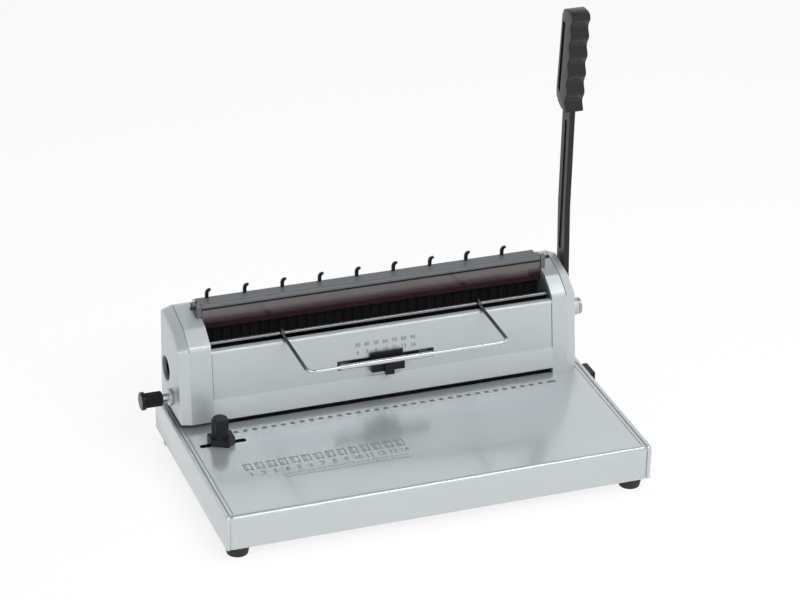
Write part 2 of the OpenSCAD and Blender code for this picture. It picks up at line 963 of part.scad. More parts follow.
module left_end_cap() {
    place()
        color([0.74, 0.76, 0.77])
            mirror([1, 0, 0])
                difference() {
                    cap_solid(-left_x, -cap_left, head_bottom);
                    cap_hollow(-left_x, -cap_left, head_bottom);
                    cap_cuts(-left_x - 1, -left_x + side_t + 0.2);
                    rod_x(-cap_left - cap_edge - 2, -cap_left + 1, plug_r, shaft_y, pivot_z);
                    rod_x(-cap_left - cap_edge - 2, -cap_left + 1, margin_r + 1, stop_y, margin_z);
                }
}

module right_end_cap() {
    place()
        color([0.74, 0.76, 0.77])
            difference() {
                cap_solid(right_x, cap_right, base_top);
                cap_hollow(right_x, cap_right, base_top);
                cap_cuts(right_x - 1, right_x + side_t + 0.2);
                rod_x(cap_right - cap_edge - 2, cap_right + 1, shaft_r + 1, shaft_y, pivot_z);
            }
}

module cap_screws() {
    place()
        color([0.75, 0.75, 0.77])
            for (x = [left_x - side_t / 2, right_x + side_t / 2])
                for (z = cap_screw_z)
                    translate([x, head_back, z])
                        rotate([90, 0, 0]) {
                            cylinder(h = cap_screw_l, r = cap_screw_r);
                            cylinder(h = cap_screw_head_h, r = cap_screw_head_r);
                        }
}

module cap_plug() {
    place()
        color([0.08, 0.08, 0.09])
            difference() {
                rod_x(cap_left + plug_in, cap_left + cap_wall, plug_r - fix_gap, shaft_y, pivot_z);
                rod_x(cap_left - 1, cap_left + 10, shaft_r + plug_hole, shaft_y, pivot_z);
            }
}

// Closing bed, rails and hooks

// Comb outline in plan: a bar whose face is notched between the pins
module comb(x0, x1, y0, y1, front) {
    difference() {
        translate([x0, y0])
            square([x1 - x0, y1 - y0]);
        for (i = [0 : pins])
            translate([pin_x(i) - pin_pitch / 2 - notch_w / 2, front ? y0 - 1 : y1 - notch_d])
                square([notch_w, notch_d + 1]);
    }
}

module closing_bed() {
    place()
        color([0.07, 0.07, 0.08])
            difference() {
                union() {
                    box(left_x, right_x, tie_y, bed_back - 0.2, tie_top, bed_top);
                    translate([0, 0, bed_top - eps])
                        linear_extrude(bed_wall_top - bed_top + eps)
                            comb(left_x, right_x, bed_wall_y, bed_wall_y + bed_wall_t, false);
                }
                for (x = [-bail_left, bail_right])
                    box(x - bail_wire, x + bail_wire, tie_y, bed_wall_y + bed_wall_t + 1,
                        bed_top, bed_wall_top + 1);
            }
}

module front_rod() {
    place()
        color([0.82, 0.83, 0.85])
            rod_x(left_x - side_t, right_x + side_t, rod_r, rod_line, rod_z);
}

module hook_rail() {
    place()
        color([0.42, 0.44, 0.46])
            along_x(left_x, right_x)
                polygon([
                    [rail_y, rail_top], [rail_back, rail_top], [rail_back, shelf_z - rail_lip],
                    [rail_back - rail_t, shelf_z - rail_lip], [rail_back - rail_t, rail_top - rail_t],
                    [rail_y, rail_top - rail_t]
                ]);
}

module wire_hook() {
    r = hook_wire / 2;
    bend = 1.1 * hook_wire;
    cylinder(h = hook_h - bend, r = r, $fn = 16);
    translate([bend, 0, hook_h - bend - eps])
        rotate([90, 0, 180])
            rotate_extrude(angle = 90, $fn = 32)
                translate([bend, 0])
                    circle(r = r, $fn = 16);
    translate([bend - eps, 0, hook_h - eps])
        rotate([0, 90, 0])
            cylinder(h = hook_wire / 2, r = r, $fn = 16);
}

module wire_hooks() {
    first = pin_x(0) - pin_pitch / 2;
    hooks = min(hook_count, 1 + floor((right_x - hook_h - first) / (hook_step * pin_pitch)));
    place()
        color([0.1, 0.1, 0.11])
            for (i = [0 : hooks - 1])
                translate([first + i * hook_step * pin_pitch, rail_back - hook_wire / 2 - seat_gap, rail_top])
                    wire_hook();
}

module flap_pin() {
    place()
        color([0.3, 0.31, 0.32])
            rod_x(left_x - side_t - flap_pin_end, right_x + side_t + flap_pin_end, flap_pin_d / 2, hinge_y, flap_z);
}

module selector_bezel() {
    half = selector_slot_l / 2;
    place()
        color([0.06, 0.06, 0.07])
            on_front(selector_z)
                difference() {
                    box(panel_mid - half - bezel_side, panel_mid + half + bezel_side, -bezel_t, 0,
                        -selector_slot_h / 2 - bezel_rim, selector_slot_h / 2 + bezel_rim);
                    box(panel_mid - half, panel_mid + half, -bezel_t - 1, 1,
                        -selector_slot_h / 2, selector_slot_h / 2);
                }
}

module margin_collar() {
    place()
        color([0.8, 0.8, 0.82])
            difference() {
                rod_x(cap_left - margin_collar_l, cap_left, margin_collar_r, stop_y, margin_z);
                rod_x(cap_left - margin_collar_l - 1, cap_left + 1, margin_r + run_gap, stop_y, margin_z);
            }
}

// Lever and drive

module main_shaft() {
    place()
        color([0.62, 0.63, 0.65])
            rod_x(cap_left + cap_wall + 2, hub_end, shaft_r, shaft_y, pivot_z);
}

function inv(a) = tan(a) * 180 / PI - a;
function flank(q) =
    let (rb = gear_r * cos(gear_angle), a = q > rb ? acos(rb / q) : 0)
        (90 - gear_play / 2 * 180 / PI / gear_module) / gear_teeth + inv(gear_angle) - inv(a);

module pinion_outline() {
    radii = [for (t = [0 : 0.2 : 1]) gear_r - gear_ded + t * (gear_add + gear_ded)];
    polygon([for (k = [0 : gear_teeth - 1])
        let (mid = k * 360 / gear_teeth)
            each concat(
                [for (q = radii) [q * cos(mid - flank(q)), q * sin(mid - flank(q))]],
                [for (j = [len(radii) - 1 : -1 : 0])
                    let (q = radii[j]) [q * cos(mid + flank(q)), q * sin(mid + flank(q))]])]);
}

module drive_pinions() {
    place()
        color([0.55, 0.56, 0.58])
            for (s = [-1, 1])
                translate([0, shaft_y, pivot_z])
                    along_x(s * pinion_x - pinion_l / 2, s * pinion_x + pinion_l / 2)
                        difference() {
                            pinion_outline();
                            circle(r = shaft_r + fix_gap);
                        }
}

// Rack outline: the pitch line is the x axis, teeth point to +Y
module rack_outline(back) {
    half = rack_p / 4 - gear_play / 4;
    grow = tan(gear_angle);
    polygon(concat(
        [[rack_high, -gear_ded], [rack_high, -back], [rack_low, -back], [rack_low, -gear_ded]],
        [for (i = [-1 : rack_teeth - 2])
            let (c = (i + 0.5) * rack_p)
                each [[c - half - grow * gear_ded, -gear_ded], [c - half + grow * gear_add, gear_add],
                    [c + half - grow * gear_add, gear_add], [c + half + grow * gear_ded, -gear_ded]]]));
}

module shaft_collar() {
    place()
        color([0.6, 0.6, 0.62])
            difference() {
                rod_x(collar_x - collar_l, collar_x, bush_r, shaft_y, pivot_z);
                rod_x(cap_left, left_x, shaft_r + fix_gap, shaft_y, pivot_z);
            }
}

module lever_washer() {
    place()
        color([0.7, 0.7, 0.72])
            difference() {
                rod_x(cap_right + slide_gap, lever_x, shaft_r + washer_rim, shaft_y, pivot_z);
                rod_x(cap_right - 1, lever_x + 1, shaft_r + fix_gap, shaft_y, pivot_z);
            }
}

module lever_outline(grow) {
    half = lever_w / 2 + grow;
    top = grip_z + grip_l * 0.7 + grow;
    eye_r = hub_r + eye_rim;
    open_a = acos(half / eye_r);
    eye_steps = 24;
    polygon(concat(
        [for (i = [0 : eye_steps])
            let (a = open_a - (180 + 2 * open_a) * i / eye_steps)
                [shaft_y + eye_r * cos(a), pivot_z + eye_r * sin(a)]],
        [[shaft_y + bend_dy - half, bend_z], [shaft_y + bend_dy - top_lean - half, top],
        [shaft_y + bend_dy - top_lean + half, top], [shaft_y + bend_dy + half, bend_z]]));
}

module lever_arm() {
    groove_y = shaft_y + bend_dy - 2 * top_lean;
    place()
        color([0.1, 0.1, 0.11])
            difference() {
                along_x(lever_x, lever_x + lever_t)
                    lever_outline(0);
                rod_x(lever_x - 1, lever_x + lever_t + 1, shaft_r + fix_gap, shaft_y, pivot_z);
                box(lever_x - 1, lever_x + groove_in, groove_y - groove_r, groove_y + groove_r, pivot_z + groove_low,
                    grip_z - groove_high);
                rod_x(lever_x - 1, lever_x + groove_in, groove_r, groove_y, pivot_z + groove_low);
                rod_x(lever_x - 1, lever_x + groove_in, groove_r, groove_y, grip_z - groove_high);
                grip_screw_places()
                    rotate([0, 90, 0])
                        translate([0, 0, -lever_t])
                            cylinder(h = 2 * lever_t, r = grip_bore_r + fix_gap);
            }
}

module lever_hub() {
    place()
        color([0.12, 0.12, 0.13])
            difference() {
                rod_x(hub_x, hub_end, hub_r, shaft_y, pivot_z);
                rod_x(hub_x - 1, hub_end + 1, shaft_r + fix_gap, shaft_y, pivot_z);
            }
}

module hub_bolt() {
    place()
        color([0.75, 0.75, 0.77])
            difference() {
                rod_x(hub_end, hub_end + bolt_h, shaft_r + bolt_rim, shaft_y, pivot_z);
                translate([hub_end + bolt_h - bolt_socket, shaft_y, pivot_z])
                    rotate([0, 90, 0])
                        cylinder(h = bolt_socket + 1, r = bolt_key_r, $fn = 6);
            }
}

// Front edge of the grip: finger waves on a slightly leaning line
function grip_front(t) =
    grip_back - grip_d - grip_tip_shift * t + wave_d * (1 - cos(360 * grip_waves * t)) / 2;

module grip_outline() {
    steps = 8 * grip_waves;
    polygon(concat(
        [for (i = [0 : steps]) [grip_front(i / steps), grip_z + (grip_l - 5) * i / steps]],
        [[grip_front(1) + 6, grip_top], [grip_back - grip_tip_shift - 8, grip_top],
        [grip_back - grip_tip_shift, grip_top - 7], [grip_back, grip_z + 12], [grip_back - 6, grip_z + 3],
        [grip_back - 13, grip_z]]));
}

module grip_screw_places() {
    for (t = [0.18, 0.52])
        translate([lever_x + lever_t / 2, shaft_y + bend_dy - top_lean, grip_z + grip_l * t])
            children();
}

module lever_grip() {
    mid = lever_x + lever_t / 2;
    place()
        color([0.08, 0.08, 0.09])
            difference() {
                along_x(mid - grip_w / 2, mid + grip_w / 2)
                    grip_outline();
                along_x(lever_x - fix_gap, lever_x + lever_t + fix_gap)
                    lever_outline(fix_gap);
                along_x(mid - grip_w / 2 - 1, mid - grip_w / 2 + recess_d)
                    polygon([
                        [grip_back - 8, grip_z + 14], [grip_back - 4, grip_z + 18],
                        [grip_back - grip_tip_shift - 3, grip_top - 14],
                        [grip_back - grip_tip_shift - 9, grip_top - 14]
                    ]);
                grip_screw_places()
                    rotate([0, 90, 0]) {
                        translate([0, 0, -lever_t / 2 - grip_screw_in - 2 * seat_gap])
                            cylinder(h = grip_w, r = grip_bore_r + fix_gap);
                        translate([0, 0, grip_w / 2 - grip_head_in])
                            cylinder(h = grip_head_in + 1, r = grip_head_r + seat_gap);
                    }
            }
}

module grip_screws() {
    place()
        color([0.75, 0.75, 0.77])
            grip_screw_places()
                rotate([0, 90, 0]) {
                    translate([0, 0, -lever_t / 2 - grip_screw_in])
                        cylinder(h = (grip_w + lever_t) / 2 - grip_head_in + grip_screw_in + eps, r = grip_bore_r);
                    translate([0, 0, grip_w / 2 - grip_head_in])
                        cylinder(h = grip_head_in - seat_gap, r = grip_head_r);
                }
}

// Punch

module post_bores(z0, z1, r) {
    for (s = [-1, 1])
        rod_z(s * post_x, punch_line, z0, z1, r);
}

module clamp_screw_places() {
    for (x = [-1.5, -0.5, 0.5, 1.5])
        translate([x * 8 * pin_pitch, beam_y + clamp_screw_in, 0])
            children();
}

module punch_beam() {
    place()
        color([0.5, 0.51, 0.53])
            difference() {
                box(-beam_half, beam_half, beam_y, beam_back, beam_z, beam_top);
                post_bores(beam_z - 1, beam_top + 1, post_r + run_gap);
                post_bores(beam_z - 1, pocket_top, pocket_r);
                clamp_screw_places()
                    rod_z(0, 0, beam_z - 1, beam_z + clamp_screw_l + 1, clamp_screw_r + fix_gap);
            }
}

module pin_clamp_bar() {
    place()
        color([0.4, 0.41, 0.43])
            difference() {
                translate([0, 0, clamp_z])
                    linear_extrude(clamp_t)
                        difference() {
                            translate([-beam_half, beam_y])
                                square([2 * beam_half, beam_d]);
                            pin_squares(0.1);
                        }
                translate([0, 0, beam_z - pin_head_h])
                    linear_extrude(pin_head_h + 1)
                        pin_squares(pin_head - pin_size + 0.1);
                post_bores(clamp_z - 1, beam_z + 1, pocket_r);
                clamp_screw_places() {
                    rod_z(0, 0, clamp_z - 1, beam_z + 1, clamp_screw_r + seat_gap);
                    rod_z(0, 0, clamp_z - 1, clamp_z + clamp_head_h, clamp_head_r + seat_gap);
                }
            }
}

module punch_pins() {
    place()
        color([0.78, 0.79, 0.81]) {
            translate([0, 0, pin_tip])
                linear_extrude(beam_z - pin_head_h - pin_tip + eps)
                    pin_squares(0);
            translate([0, 0, beam_z - pin_head_h])
                linear_extrude(pin_head_h)
                    pin_squares(pin_head - pin_size);
        }
}

module clamp_screws() {
    place()
        color([0.75, 0.75, 0.77])
            clamp_screw_places() {
                rod_z(0, 0, clamp_z + clamp_head_h - eps, beam_z + clamp_screw_l, clamp_screw_r);
                rod_z(0, 0, clamp_z + seat_gap / 2, clamp_z + clamp_head_h, clamp_head_r);
            }
}

module punch_racks() {
    place()
        color([0.55, 0.56, 0.58])
            for (s = [-1, 1]) {
                x0 = s * pinion_x + (s > 0 ? rack_split : -rack_split - rack_w);
                along_x(x0, x0 + rack_w)
                    union() {
                        translate([shaft_y - gear_r, pivot_z])
                            mirror([1, 0])
                                rotate(90)
                                    rack_outline(rack_back);
                        translate([beam_back, beam_z + rack_step])
                            square([shaft_y - gear_r - rack_back - beam_back + 2, beam_h - rack_step]);
                    }
            }
}

// Helical spring: one tube swept along a helix, closed at both ends
module helix(r, wire, height, turns) {
    rings = 8 * turns;
    sides = 6;
    ring_points = [for (i = [0 : rings])
        let (a = i * 360 / 8, z = wire / 2 + (height - wire) * i / rings)
            for (j = [0 : sides - 1])
                let (b = j * 360 / sides, q = r + wire / 2 * cos(b))
                    [q * cos(a), q * sin(a), z + wire / 2 * sin(b)]];
    walls = [for (i = [0 : rings - 1])
        for (j = [0 : sides - 1])
            let (p = i * sides + j, n = i * sides + (j + 1) % sides)
                each [[p, p + sides, n + sides], [p, n + sides, n]]];
    ends = [for (j = [1 : sides - 2])
        each [[0, j, j + 1], [rings * sides, rings * sides + j + 1, rings * sides + j]]];
    polyhedron(ring_points, concat(walls, ends));
}

module return_springs() {
    place()
        color([0.7, 0.7, 0.72])
            for (s = [-1, 1])
                translate([s * post_x, punch_line, guide_top])
                    helix(spring_r, spring_wire, pocket_top - guide_top, spring_turns);
}

// Closer

module closing_jaw() {
    place()
        color([0.06, 0.06, 0.07])
            translate([0, 0, carriage_top])
                linear_extrude(jaw_top - carriage_top)
                    comb(left_x + 1, right_x - 1, jaw_face, jaw_face + jaw_t, true);
}

module closing_carriage() {
    place()
        color([0.4, 0.41, 0.43])
            box(left_x - side_t + 1, right_x + side_t - 1, jaw_face, carriage_back, carriage_z, carriage_top);
}

module closing_racks() {
    place()
        color([0.55, 0.56, 0.58])
            for (s = [-1, 1]) {
                x0 = s * pinion_x + (s > 0 ? -rack_split - rack_w : rack_split);
                along_x(x0, x0 + rack_w)
                    translate([shaft_y, rack_z])
                        mirror([0, 1])
                            rack_outline(carriage_z - rack_z);
            }
}

// Controls

module selector_knob() {
    neck = selector_slot_h / 2 - slide_gap;
    place()
        color([0.06, 0.06, 0.07])
            translate([panel_mid, 0, 0])
                on_front(selector_z)
                    union() {
                        box(-selector_w / 2, selector_w / 2, -selector_d, -bezel_t - slide_gap,
                            -selector_half, selector_half);
                        box(-selector_tab_w / 2, selector_tab_w / 2, -selector_tab_d, -selector_d + eps,
                            -selector_tab_low, -slide_gap);
                        box(-selector_neck_w / 2, selector_neck_w / 2, -bezel_t - slide_gap - eps, panel_t + slide_gap,
                            -neck, neck);
                    }
}

module stepped_plate() {
    place()
        color([0.6, 0.61, 0.63])
            translate([panel_mid, 0, 0])
                on_front(selector_z)
                    translate([0, panel_t + slide_gap + step_plate_t, 0])
                        rotate([90, 0, 0])
                            linear_extrude(step_plate_t)
                                polygon(concat(
                                    [[-step_count * step_run / 2, -step_low], [step_count * step_run / 2, -step_low]],
                                    [for (i = [step_count - 1 : -1 : 0])
                                        let (z = step_first + step_rise * i)
                                            each [[(i + 1 - step_count / 2) * step_run, z],
                                                [(i - step_count / 2) * step_run, z]]]));
}

module margin_knob() {
    tip = cap_left - margin_reach;
    place()
        color([0.06, 0.06, 0.07])
            difference() {
                union() {
                    along_x(tip + margin_flange_l - eps, tip + margin_knob_l)
                        translate([stop_y, margin_z])
                            ribbed(margin_knob_r, margin_rib, 20);
                    rod_x(tip, tip + margin_flange_l, margin_flange_r, stop_y, margin_z);
                }
                rod_x(tip + margin_flange_l, tip + margin_knob_l + 1, margin_r + fix_gap, stop_y, margin_z);
            }
}

module margin_shaft() {
    place()
        color([0.75, 0.76, 0.78])
            union() {
                rod_x(cap_left - margin_reach + margin_flange_l, right_x + side_t, margin_r, stop_y, margin_z);
                for (x = [-finger_x, 0, finger_x])
                    along_x(x - finger_w / 2, x + finger_w / 2)
                        translate([stop_y, margin_z])
                            union() {
                                circle(r = margin_r + finger_rim);
                                rotate(-90 - finger_a)
                                    translate([0, -finger_t / 2])
                                        square([finger_l, finger_t]);
                            }
            }
}

module block_outline() {
    polygon([[-block_left, block_back], [block_right, block_back], [block_right, -0.4 * block_front],
        [block_right - block_nose, -block_front], [-block_left, -0.3 * block_front]]);
}

module edge_guide_block() {
    place()
        color([0.05, 0.05, 0.06])
            difference() {
                translate([-stud_x, slot_y, block_z])
                    linear_extrude(block_h)
                        block_outline();
                rod_z(-stud_x, slot_y, block_z - 1, block_z + block_h + 1, stud_r + run_gap);
            }
}

module guide_clamp_plate() {
    place()
        color([0.5, 0.51, 0.53])
            difference() {
                translate([-stud_x, slot_y, under_top - slide_gap - clamp_plate_t])
                    linear_extrude(clamp_plate_t)
                        square([clamp_plate_w, clamp_plate_d], center = true);
                rod_z(-stud_x, slot_y, under_top - 10, under_top + 1, stud_r + run_gap);
            }
}

module guide_knob() {
    place()
        color([0.06, 0.06, 0.07])
            translate([-stud_x, slot_y, 0]) {
                translate([0, 0, knob_z])
                    linear_extrude(guide_knob_h - knob_dome)
                        ribbed(guide_knob_r, knob_rib, 16);
                translate([0, 0, knob_z + guide_knob_h - knob_dome - eps])
                    cylinder(h = knob_dome, r1 = guide_knob_r - knob_rib, r2 = guide_knob_r - knob_dome);
                rod_z(0, 0, under_top - slide_gap - stud_below, knob_z + eps, stud_r);
            }
}

// Flap, bail and tray

module smoked_flap() {
    place()
        color([0.25, 0.16, 0.15, 0.75])
            along_x(left_x + 0.5, right_x - 0.5)
                difference() {
                    union() {
                        translate([hinge_y, flap_z])
                            circle(r = knuckle_r);
                        translate([hinge_y - knuckle_r, flap_z - flap_drop])
                            square([flap_t, flap_drop]);
                    }
                    translate([hinge_y, flap_z])
                        circle(r = flap_pin_d / 2 + run_gap);
                }
}

module bail_eye(x) {
    translate([x, rod_line, rod_z])
        rotate([0, 90, 0])
            rotate_extrude()
                translate([rod_r + run_gap + bail_r, 0])
                    circle(r = bail_r, $fn = 24);
}

module wire_bail() {
    root = rod_line - rod_r - run_gap - bail_r;
    tip = rod_line - bail_reach;
    place()
        color([0.85, 0.86, 0.88])
            union() {
                bail_eye(-bail_left);
                bail_eye(bail_right);
                for (leg = [[-bail_left, 1], [bail_right, -1]])
                    translate([leg[0], 0, rod_z]) {
                        translate([0, tip + bail_bend, 0])
                            rotate([-90, 0, 0])
                                cylinder(h = root - tip - bail_bend, r = bail_r, $fn = 24);
                        translate([leg[1] * bail_bend, tip + bail_bend, 0])
                            rotate([0, 0, leg[1] > 0 ? 180 : -90])
                                rotate_extrude(angle = 90)
                                    translate([bail_bend, 0])
                                        circle(r = bail_r, $fn = 24);
                    }
                rod_x(-bail_left + bail_bend, bail_right - bail_bend, bail_r, tip, rod_z);
            }
}

module chip_tray() {
    x0 = tray_right - tray_l;
    half = tray_d / 2;
    place()
        color([0.2, 0.2, 0.21])
            difference() {
                box(x0, tray_right, tray_y - half, tray_y + half, tray_z, tray_top);
                box(x0 + tray_wall, tray_right - tray_wall, tray_y - half + tray_wall, tray_y + half - tray_wall,
                    tray_z + tray_wall, tray_top + 1);
            }
}

module tray_pull() {
    place()
        color([0.05, 0.05, 0.06])
            union() {
                box(tray_right, tray_right + pull_t, tray_y - tray_d / 2 - pull_t, tray_y + tray_d / 2 + pull_t,
                    tray_z, tray_top + pull_rise);
                box(tray_right + pull_t - eps, tray_right + pull_l, tray_y - pull_half, tray_y + pull_half,
                    tray_z + pull_low, tray_z + pull_high);
            }
}

base_shell();
base_bottom_plate();
rubber_feet();
foot_screws();
tray_rails();
die_plate();
guide_plate();
side_plate_left();
side_plate_right();
tie_bar();
frame_screws();
head_screws();
guide_posts();
shaft_bushes();
front_panel();
rear_cover();
rear_screws();
left_end_cap();
right_end_cap();
cap_screws();
cap_plug();
closing_bed();
front_rod();
hook_rail();
wire_hooks();
flap_pin();
selector_bezel();
margin_collar();
main_shaft();
drive_pinions();
shaft_collar();
lever_washer();
lever_arm();
lever_hub();
hub_bolt();
lever_grip();
grip_screws();
punch_beam();
punch_pins();
pin_clamp_bar();
clamp_screws();
punch_racks();
return_springs();
closing_jaw();
closing_carriage();
closing_racks();
selector_knob();
stepped_plate();
margin_knob();
margin_shaft();
edge_guide_block();
guide_clamp_plate();
guide_knob();
smoked_flap();
wire_bail();
chip_tray();
tray_pull();
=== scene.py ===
"""Looks of a desk wire binding machine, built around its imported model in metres."""

import json
import math

import bmesh
import bpy
from bpy.props import FloatProperty, FloatVectorProperty, IntProperty, PointerProperty
from mathutils import Matrix, Vector
from mathutils.geometry import convex_hull_2d

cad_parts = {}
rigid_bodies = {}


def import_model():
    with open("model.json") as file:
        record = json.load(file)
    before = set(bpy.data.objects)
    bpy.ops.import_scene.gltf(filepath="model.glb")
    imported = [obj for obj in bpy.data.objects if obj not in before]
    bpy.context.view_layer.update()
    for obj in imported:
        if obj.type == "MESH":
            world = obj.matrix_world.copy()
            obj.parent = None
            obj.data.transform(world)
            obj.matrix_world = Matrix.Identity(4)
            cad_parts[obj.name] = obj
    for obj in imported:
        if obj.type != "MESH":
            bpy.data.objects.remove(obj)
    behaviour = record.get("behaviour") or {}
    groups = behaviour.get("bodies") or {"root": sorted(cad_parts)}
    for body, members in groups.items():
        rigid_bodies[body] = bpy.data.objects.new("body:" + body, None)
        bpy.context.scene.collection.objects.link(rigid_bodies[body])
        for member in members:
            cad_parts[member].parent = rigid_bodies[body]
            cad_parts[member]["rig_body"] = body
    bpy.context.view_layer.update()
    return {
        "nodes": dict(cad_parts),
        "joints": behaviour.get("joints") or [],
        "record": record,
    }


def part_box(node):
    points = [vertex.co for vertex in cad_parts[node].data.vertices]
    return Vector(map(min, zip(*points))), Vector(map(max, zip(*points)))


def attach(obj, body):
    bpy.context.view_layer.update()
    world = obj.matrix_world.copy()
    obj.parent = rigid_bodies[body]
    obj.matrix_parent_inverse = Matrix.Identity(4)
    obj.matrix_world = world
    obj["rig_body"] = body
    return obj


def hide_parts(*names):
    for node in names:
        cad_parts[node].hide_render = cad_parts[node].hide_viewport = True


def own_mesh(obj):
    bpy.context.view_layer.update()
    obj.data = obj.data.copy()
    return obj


bl_info = {
    "name": "Wire binding machine",
    "version": (1, 0, 0),
    "blender": (4, 5, 0),
    "location": "View3D > Sidebar > Binder",
    "description": "Dresses a desk wire binding machine in paint, print, plastic and steel",
    "category": "Object",
}

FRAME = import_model()
MM = 0.001

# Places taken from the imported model
BASE_LOW, BASE_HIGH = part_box("base_shell")
PANEL_LOW, PANEL_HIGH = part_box("front_panel")
LEFT_CAP_LOW, LEFT_CAP_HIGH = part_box("left_end_cap")
RIGHT_CAP_LOW, RIGHT_CAP_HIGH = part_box("right_end_cap")
GRIP_LOW, GRIP_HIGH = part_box("lever_grip")
FLAP_LOW, FLAP_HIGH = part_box("smoked_flap")
BEZEL_LOW, BEZEL_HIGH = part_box("selector_bezel")
RAIL_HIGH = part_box("hook_rail")[1]
JOINTS = {joint["name"]: joint for joint in FRAME["joints"]}
SHAFT = JOINTS["lever_pull"]["pos_m"][1:]
HINGE = Vector(JOINTS["flap_flip"]["pos_m"])
NODES = FRAME["nodes"]
SLOTS = {part["node"]: part["material_slot"] for part in FRAME["record"]["subparts"]}

# Depth of the bumps in a grained and in a fine surface
GRAIN = 0.2 * MM
FINE_GRAIN = 0.1 * MM

# Points closer than TOUCH are one point, and a cutter runs OVER past what it cuts
TOUCH = 0.001 * MM
OVER = 1 * MM


def length(name, description, millimetres):
    """A length that a user may change, kept in metres."""
    return FloatProperty(name=name, description=description, default=millimetres * MM, unit="LENGTH")


def colour(name, description, default):
    """A colour that a user may change."""
    return FloatVectorProperty(
        name=name, description=description, default=default, subtype="COLOR", size=3, min=0, max=1
    )


def copies(name, description, default, least):
    """A number of copies that a user may change."""
    return IntProperty(name=name, description=description, default=default, min=least)


class BinderSizes(bpy.types.PropertyGroup):
    """Sizes of the details that dress the machine."""

    sheet_edge: length("Sheet edge", "Rounding of the edges of bent sheets", 0.35)
    fine_edge: length("Fine edge", "Rounding of plates, pins and the flap", 0.3)
    tooth_edge: length("Tooth edge", "Rounding of teeth and narrow frames", 0.25)
    screw_edge: length("Screw edge", "Rounding of small screws and washers", 0.2)
    bolt_edge: length("Bolt edge", "Rounding of bolts and of the bail's sleeve", 0.4)
    lever_edge: length("Lever edge", "Rounding of the lever's arm, its hub and the margin bush", 0.8)
    moulded_edge: length("Moulded edge", "Rounding of moulded edges", 0.7)
    pull_edge: length("Pull edge", "Rounding of the tray's pull", 1.2)
    foot_edge: length("Foot edge", "Rounding of the rubber feet", 0.5)
    cap_edge: length("Cap edge", "Rounding of the end caps' outer edge", 4.5)
    cap_wall: length("Cap wall", "Thickness of the end caps' walls", 2.5)
    cap_rim: length("Cap rim", "Width of the end caps' outer rim on the roof", 9)
    cap_groove: length("Cap groove", "Width and depth of the groove beside the rim", 1.1)
    cap_proud: length("Cap step", "How far the caps and lower strip stand in front of the panel", 0.5)
    face_lean: FloatProperty(
        name="Face lean", description="Lean of the front face", default=math.atan(10 / 69.5), subtype="ANGLE"
    )
    shoulder_radius: length("Shoulder", "Rounding of the head's front shoulder", 7)
    shoulder_height: length("Shoulder height", "Height of the front shoulder above the floor", 116)
    rear_radius: length("Rear edge", "Rounding of the roof's crease and rear edge", 8)
    crease_back: length("Crease place", "Distance of the roof's crease from the rear", 36)
    crease_height: length("Crease height", "Height of the roof's crease above the base", 84)
    strip_height: length("Strip height", "Height of the lower strip of the front", 19.5)
    end_plate: length("End plate", "Thickness of the plates at both ends of the base", 3.4)
    plate_proud: length("Plate step", "How far the end plates stand above the top", 0.4)
    plate_seam: length("Plate seam", "Width of the seam beside an end plate", 0.7)
    ink: length("Ink", "Height of printed ink", 0.04)
    mark_pitch: length("Mark pitch", "Distance between the marks in front of the head", 8.4667)
    mark_width: length("Mark width", "Width of a mark", 4)
    mark_depth: length("Mark depth", "Depth of a mark from front to back", 3.4)
    mark_shift: length("Mark shift", "Distance of the row of marks left of the panel's middle", 1.5)
    mark_count: copies("Marks", "Marks in front of the head", 34, 2)
    panel_edge: length("Panel edge", "Rounding of the front panel's upper edge", 3)
    panel_seam: length("Panel seam", "Width of the joint beside the front panel", 0.6)
    knurl_depth: length("Knurl depth", "Depth of the margin knob's knurl", 0.65)
    knurl_pitch: length("Knurl pitch", "Length of one diamond along the margin knob", 2.6)
    knurl_count: copies("Knurl count", "Diamonds round the margin knob", 21, 6)
    hook_count: copies("Hooks", "Hooks on the rail", 9, 2)
    hook_width: length("Hook width", "Width of a hook's strap", 3)
    wave_count: copies("Finger waves", "Finger waves on the grip", 5, 1)
    wave_depth: length("Wave depth", "Depth of a finger wave", 3.2)
    grip_edge: length("Grip edge", "Rounding of the grip's edges", 2.6)


class BinderColours(bpy.types.PropertyGroup):
    """Colours of the machine's finishes."""

    paint: colour("Paint", "Silver-grey enamel", (0.55, 0.585, 0.595))
    paint_shade: colour("Paint shade", "Broad darker tone of the enamel", (0.48, 0.515, 0.525))
    ink: colour("Ink", "Printed ink", (0.03, 0.033, 0.035))
    faint_ink: colour("Faint ink", "Pale printed ink", (0.11, 0.12, 0.125))
    black: colour("Black", "Moulded black plastic", (0.007, 0.007, 0.008))
    enamel: colour("Black enamel", "Satin black enamel on steel", (0.008, 0.008, 0.009))
    steel: colour("Steel", "Ground steel", (0.52, 0.53, 0.54))
    bright: colour("Bright steel", "Bright plated steel", (0.7, 0.71, 0.72))
    zinc: colour("Zinc", "Zinc plating of the fasteners", (0.5, 0.51, 0.53))
    # Painted dark reflection: the colour the bail's arms are painted, darker than their bright steel
    arm_dark_reflection: colour("Black wire", "Blackened wire of the bail's arms", (0.09, 0.092, 0.096))
    # Painted shade: the front rod's steel is painted this dark so that only its highlight stands out
    rod: colour("Rod", "Dark plated steel of the front rod", (0.26, 0.265, 0.27))
    rail: colour("Rail", "Grey paint of the rail", (0.095, 0.101, 0.106))
    smoke: colour("Smoke", "Smoked acrylic towards its hinge", (0.235, 0.2, 0.205))
    # Painted shadow: the colour of the flap's lower part, where the inside of the head shades it
    smoke_in_shadow: colour("Deep smoke", "Smoked acrylic towards its free edge", (0.042, 0.015, 0.018))
    bronze: colour("Bronze", "Sintered bronze", (0.45, 0.27, 0.1))
    floor: colour("Floor", "Studio floor", (0.9, 0.9, 0.9))


# Shader maths


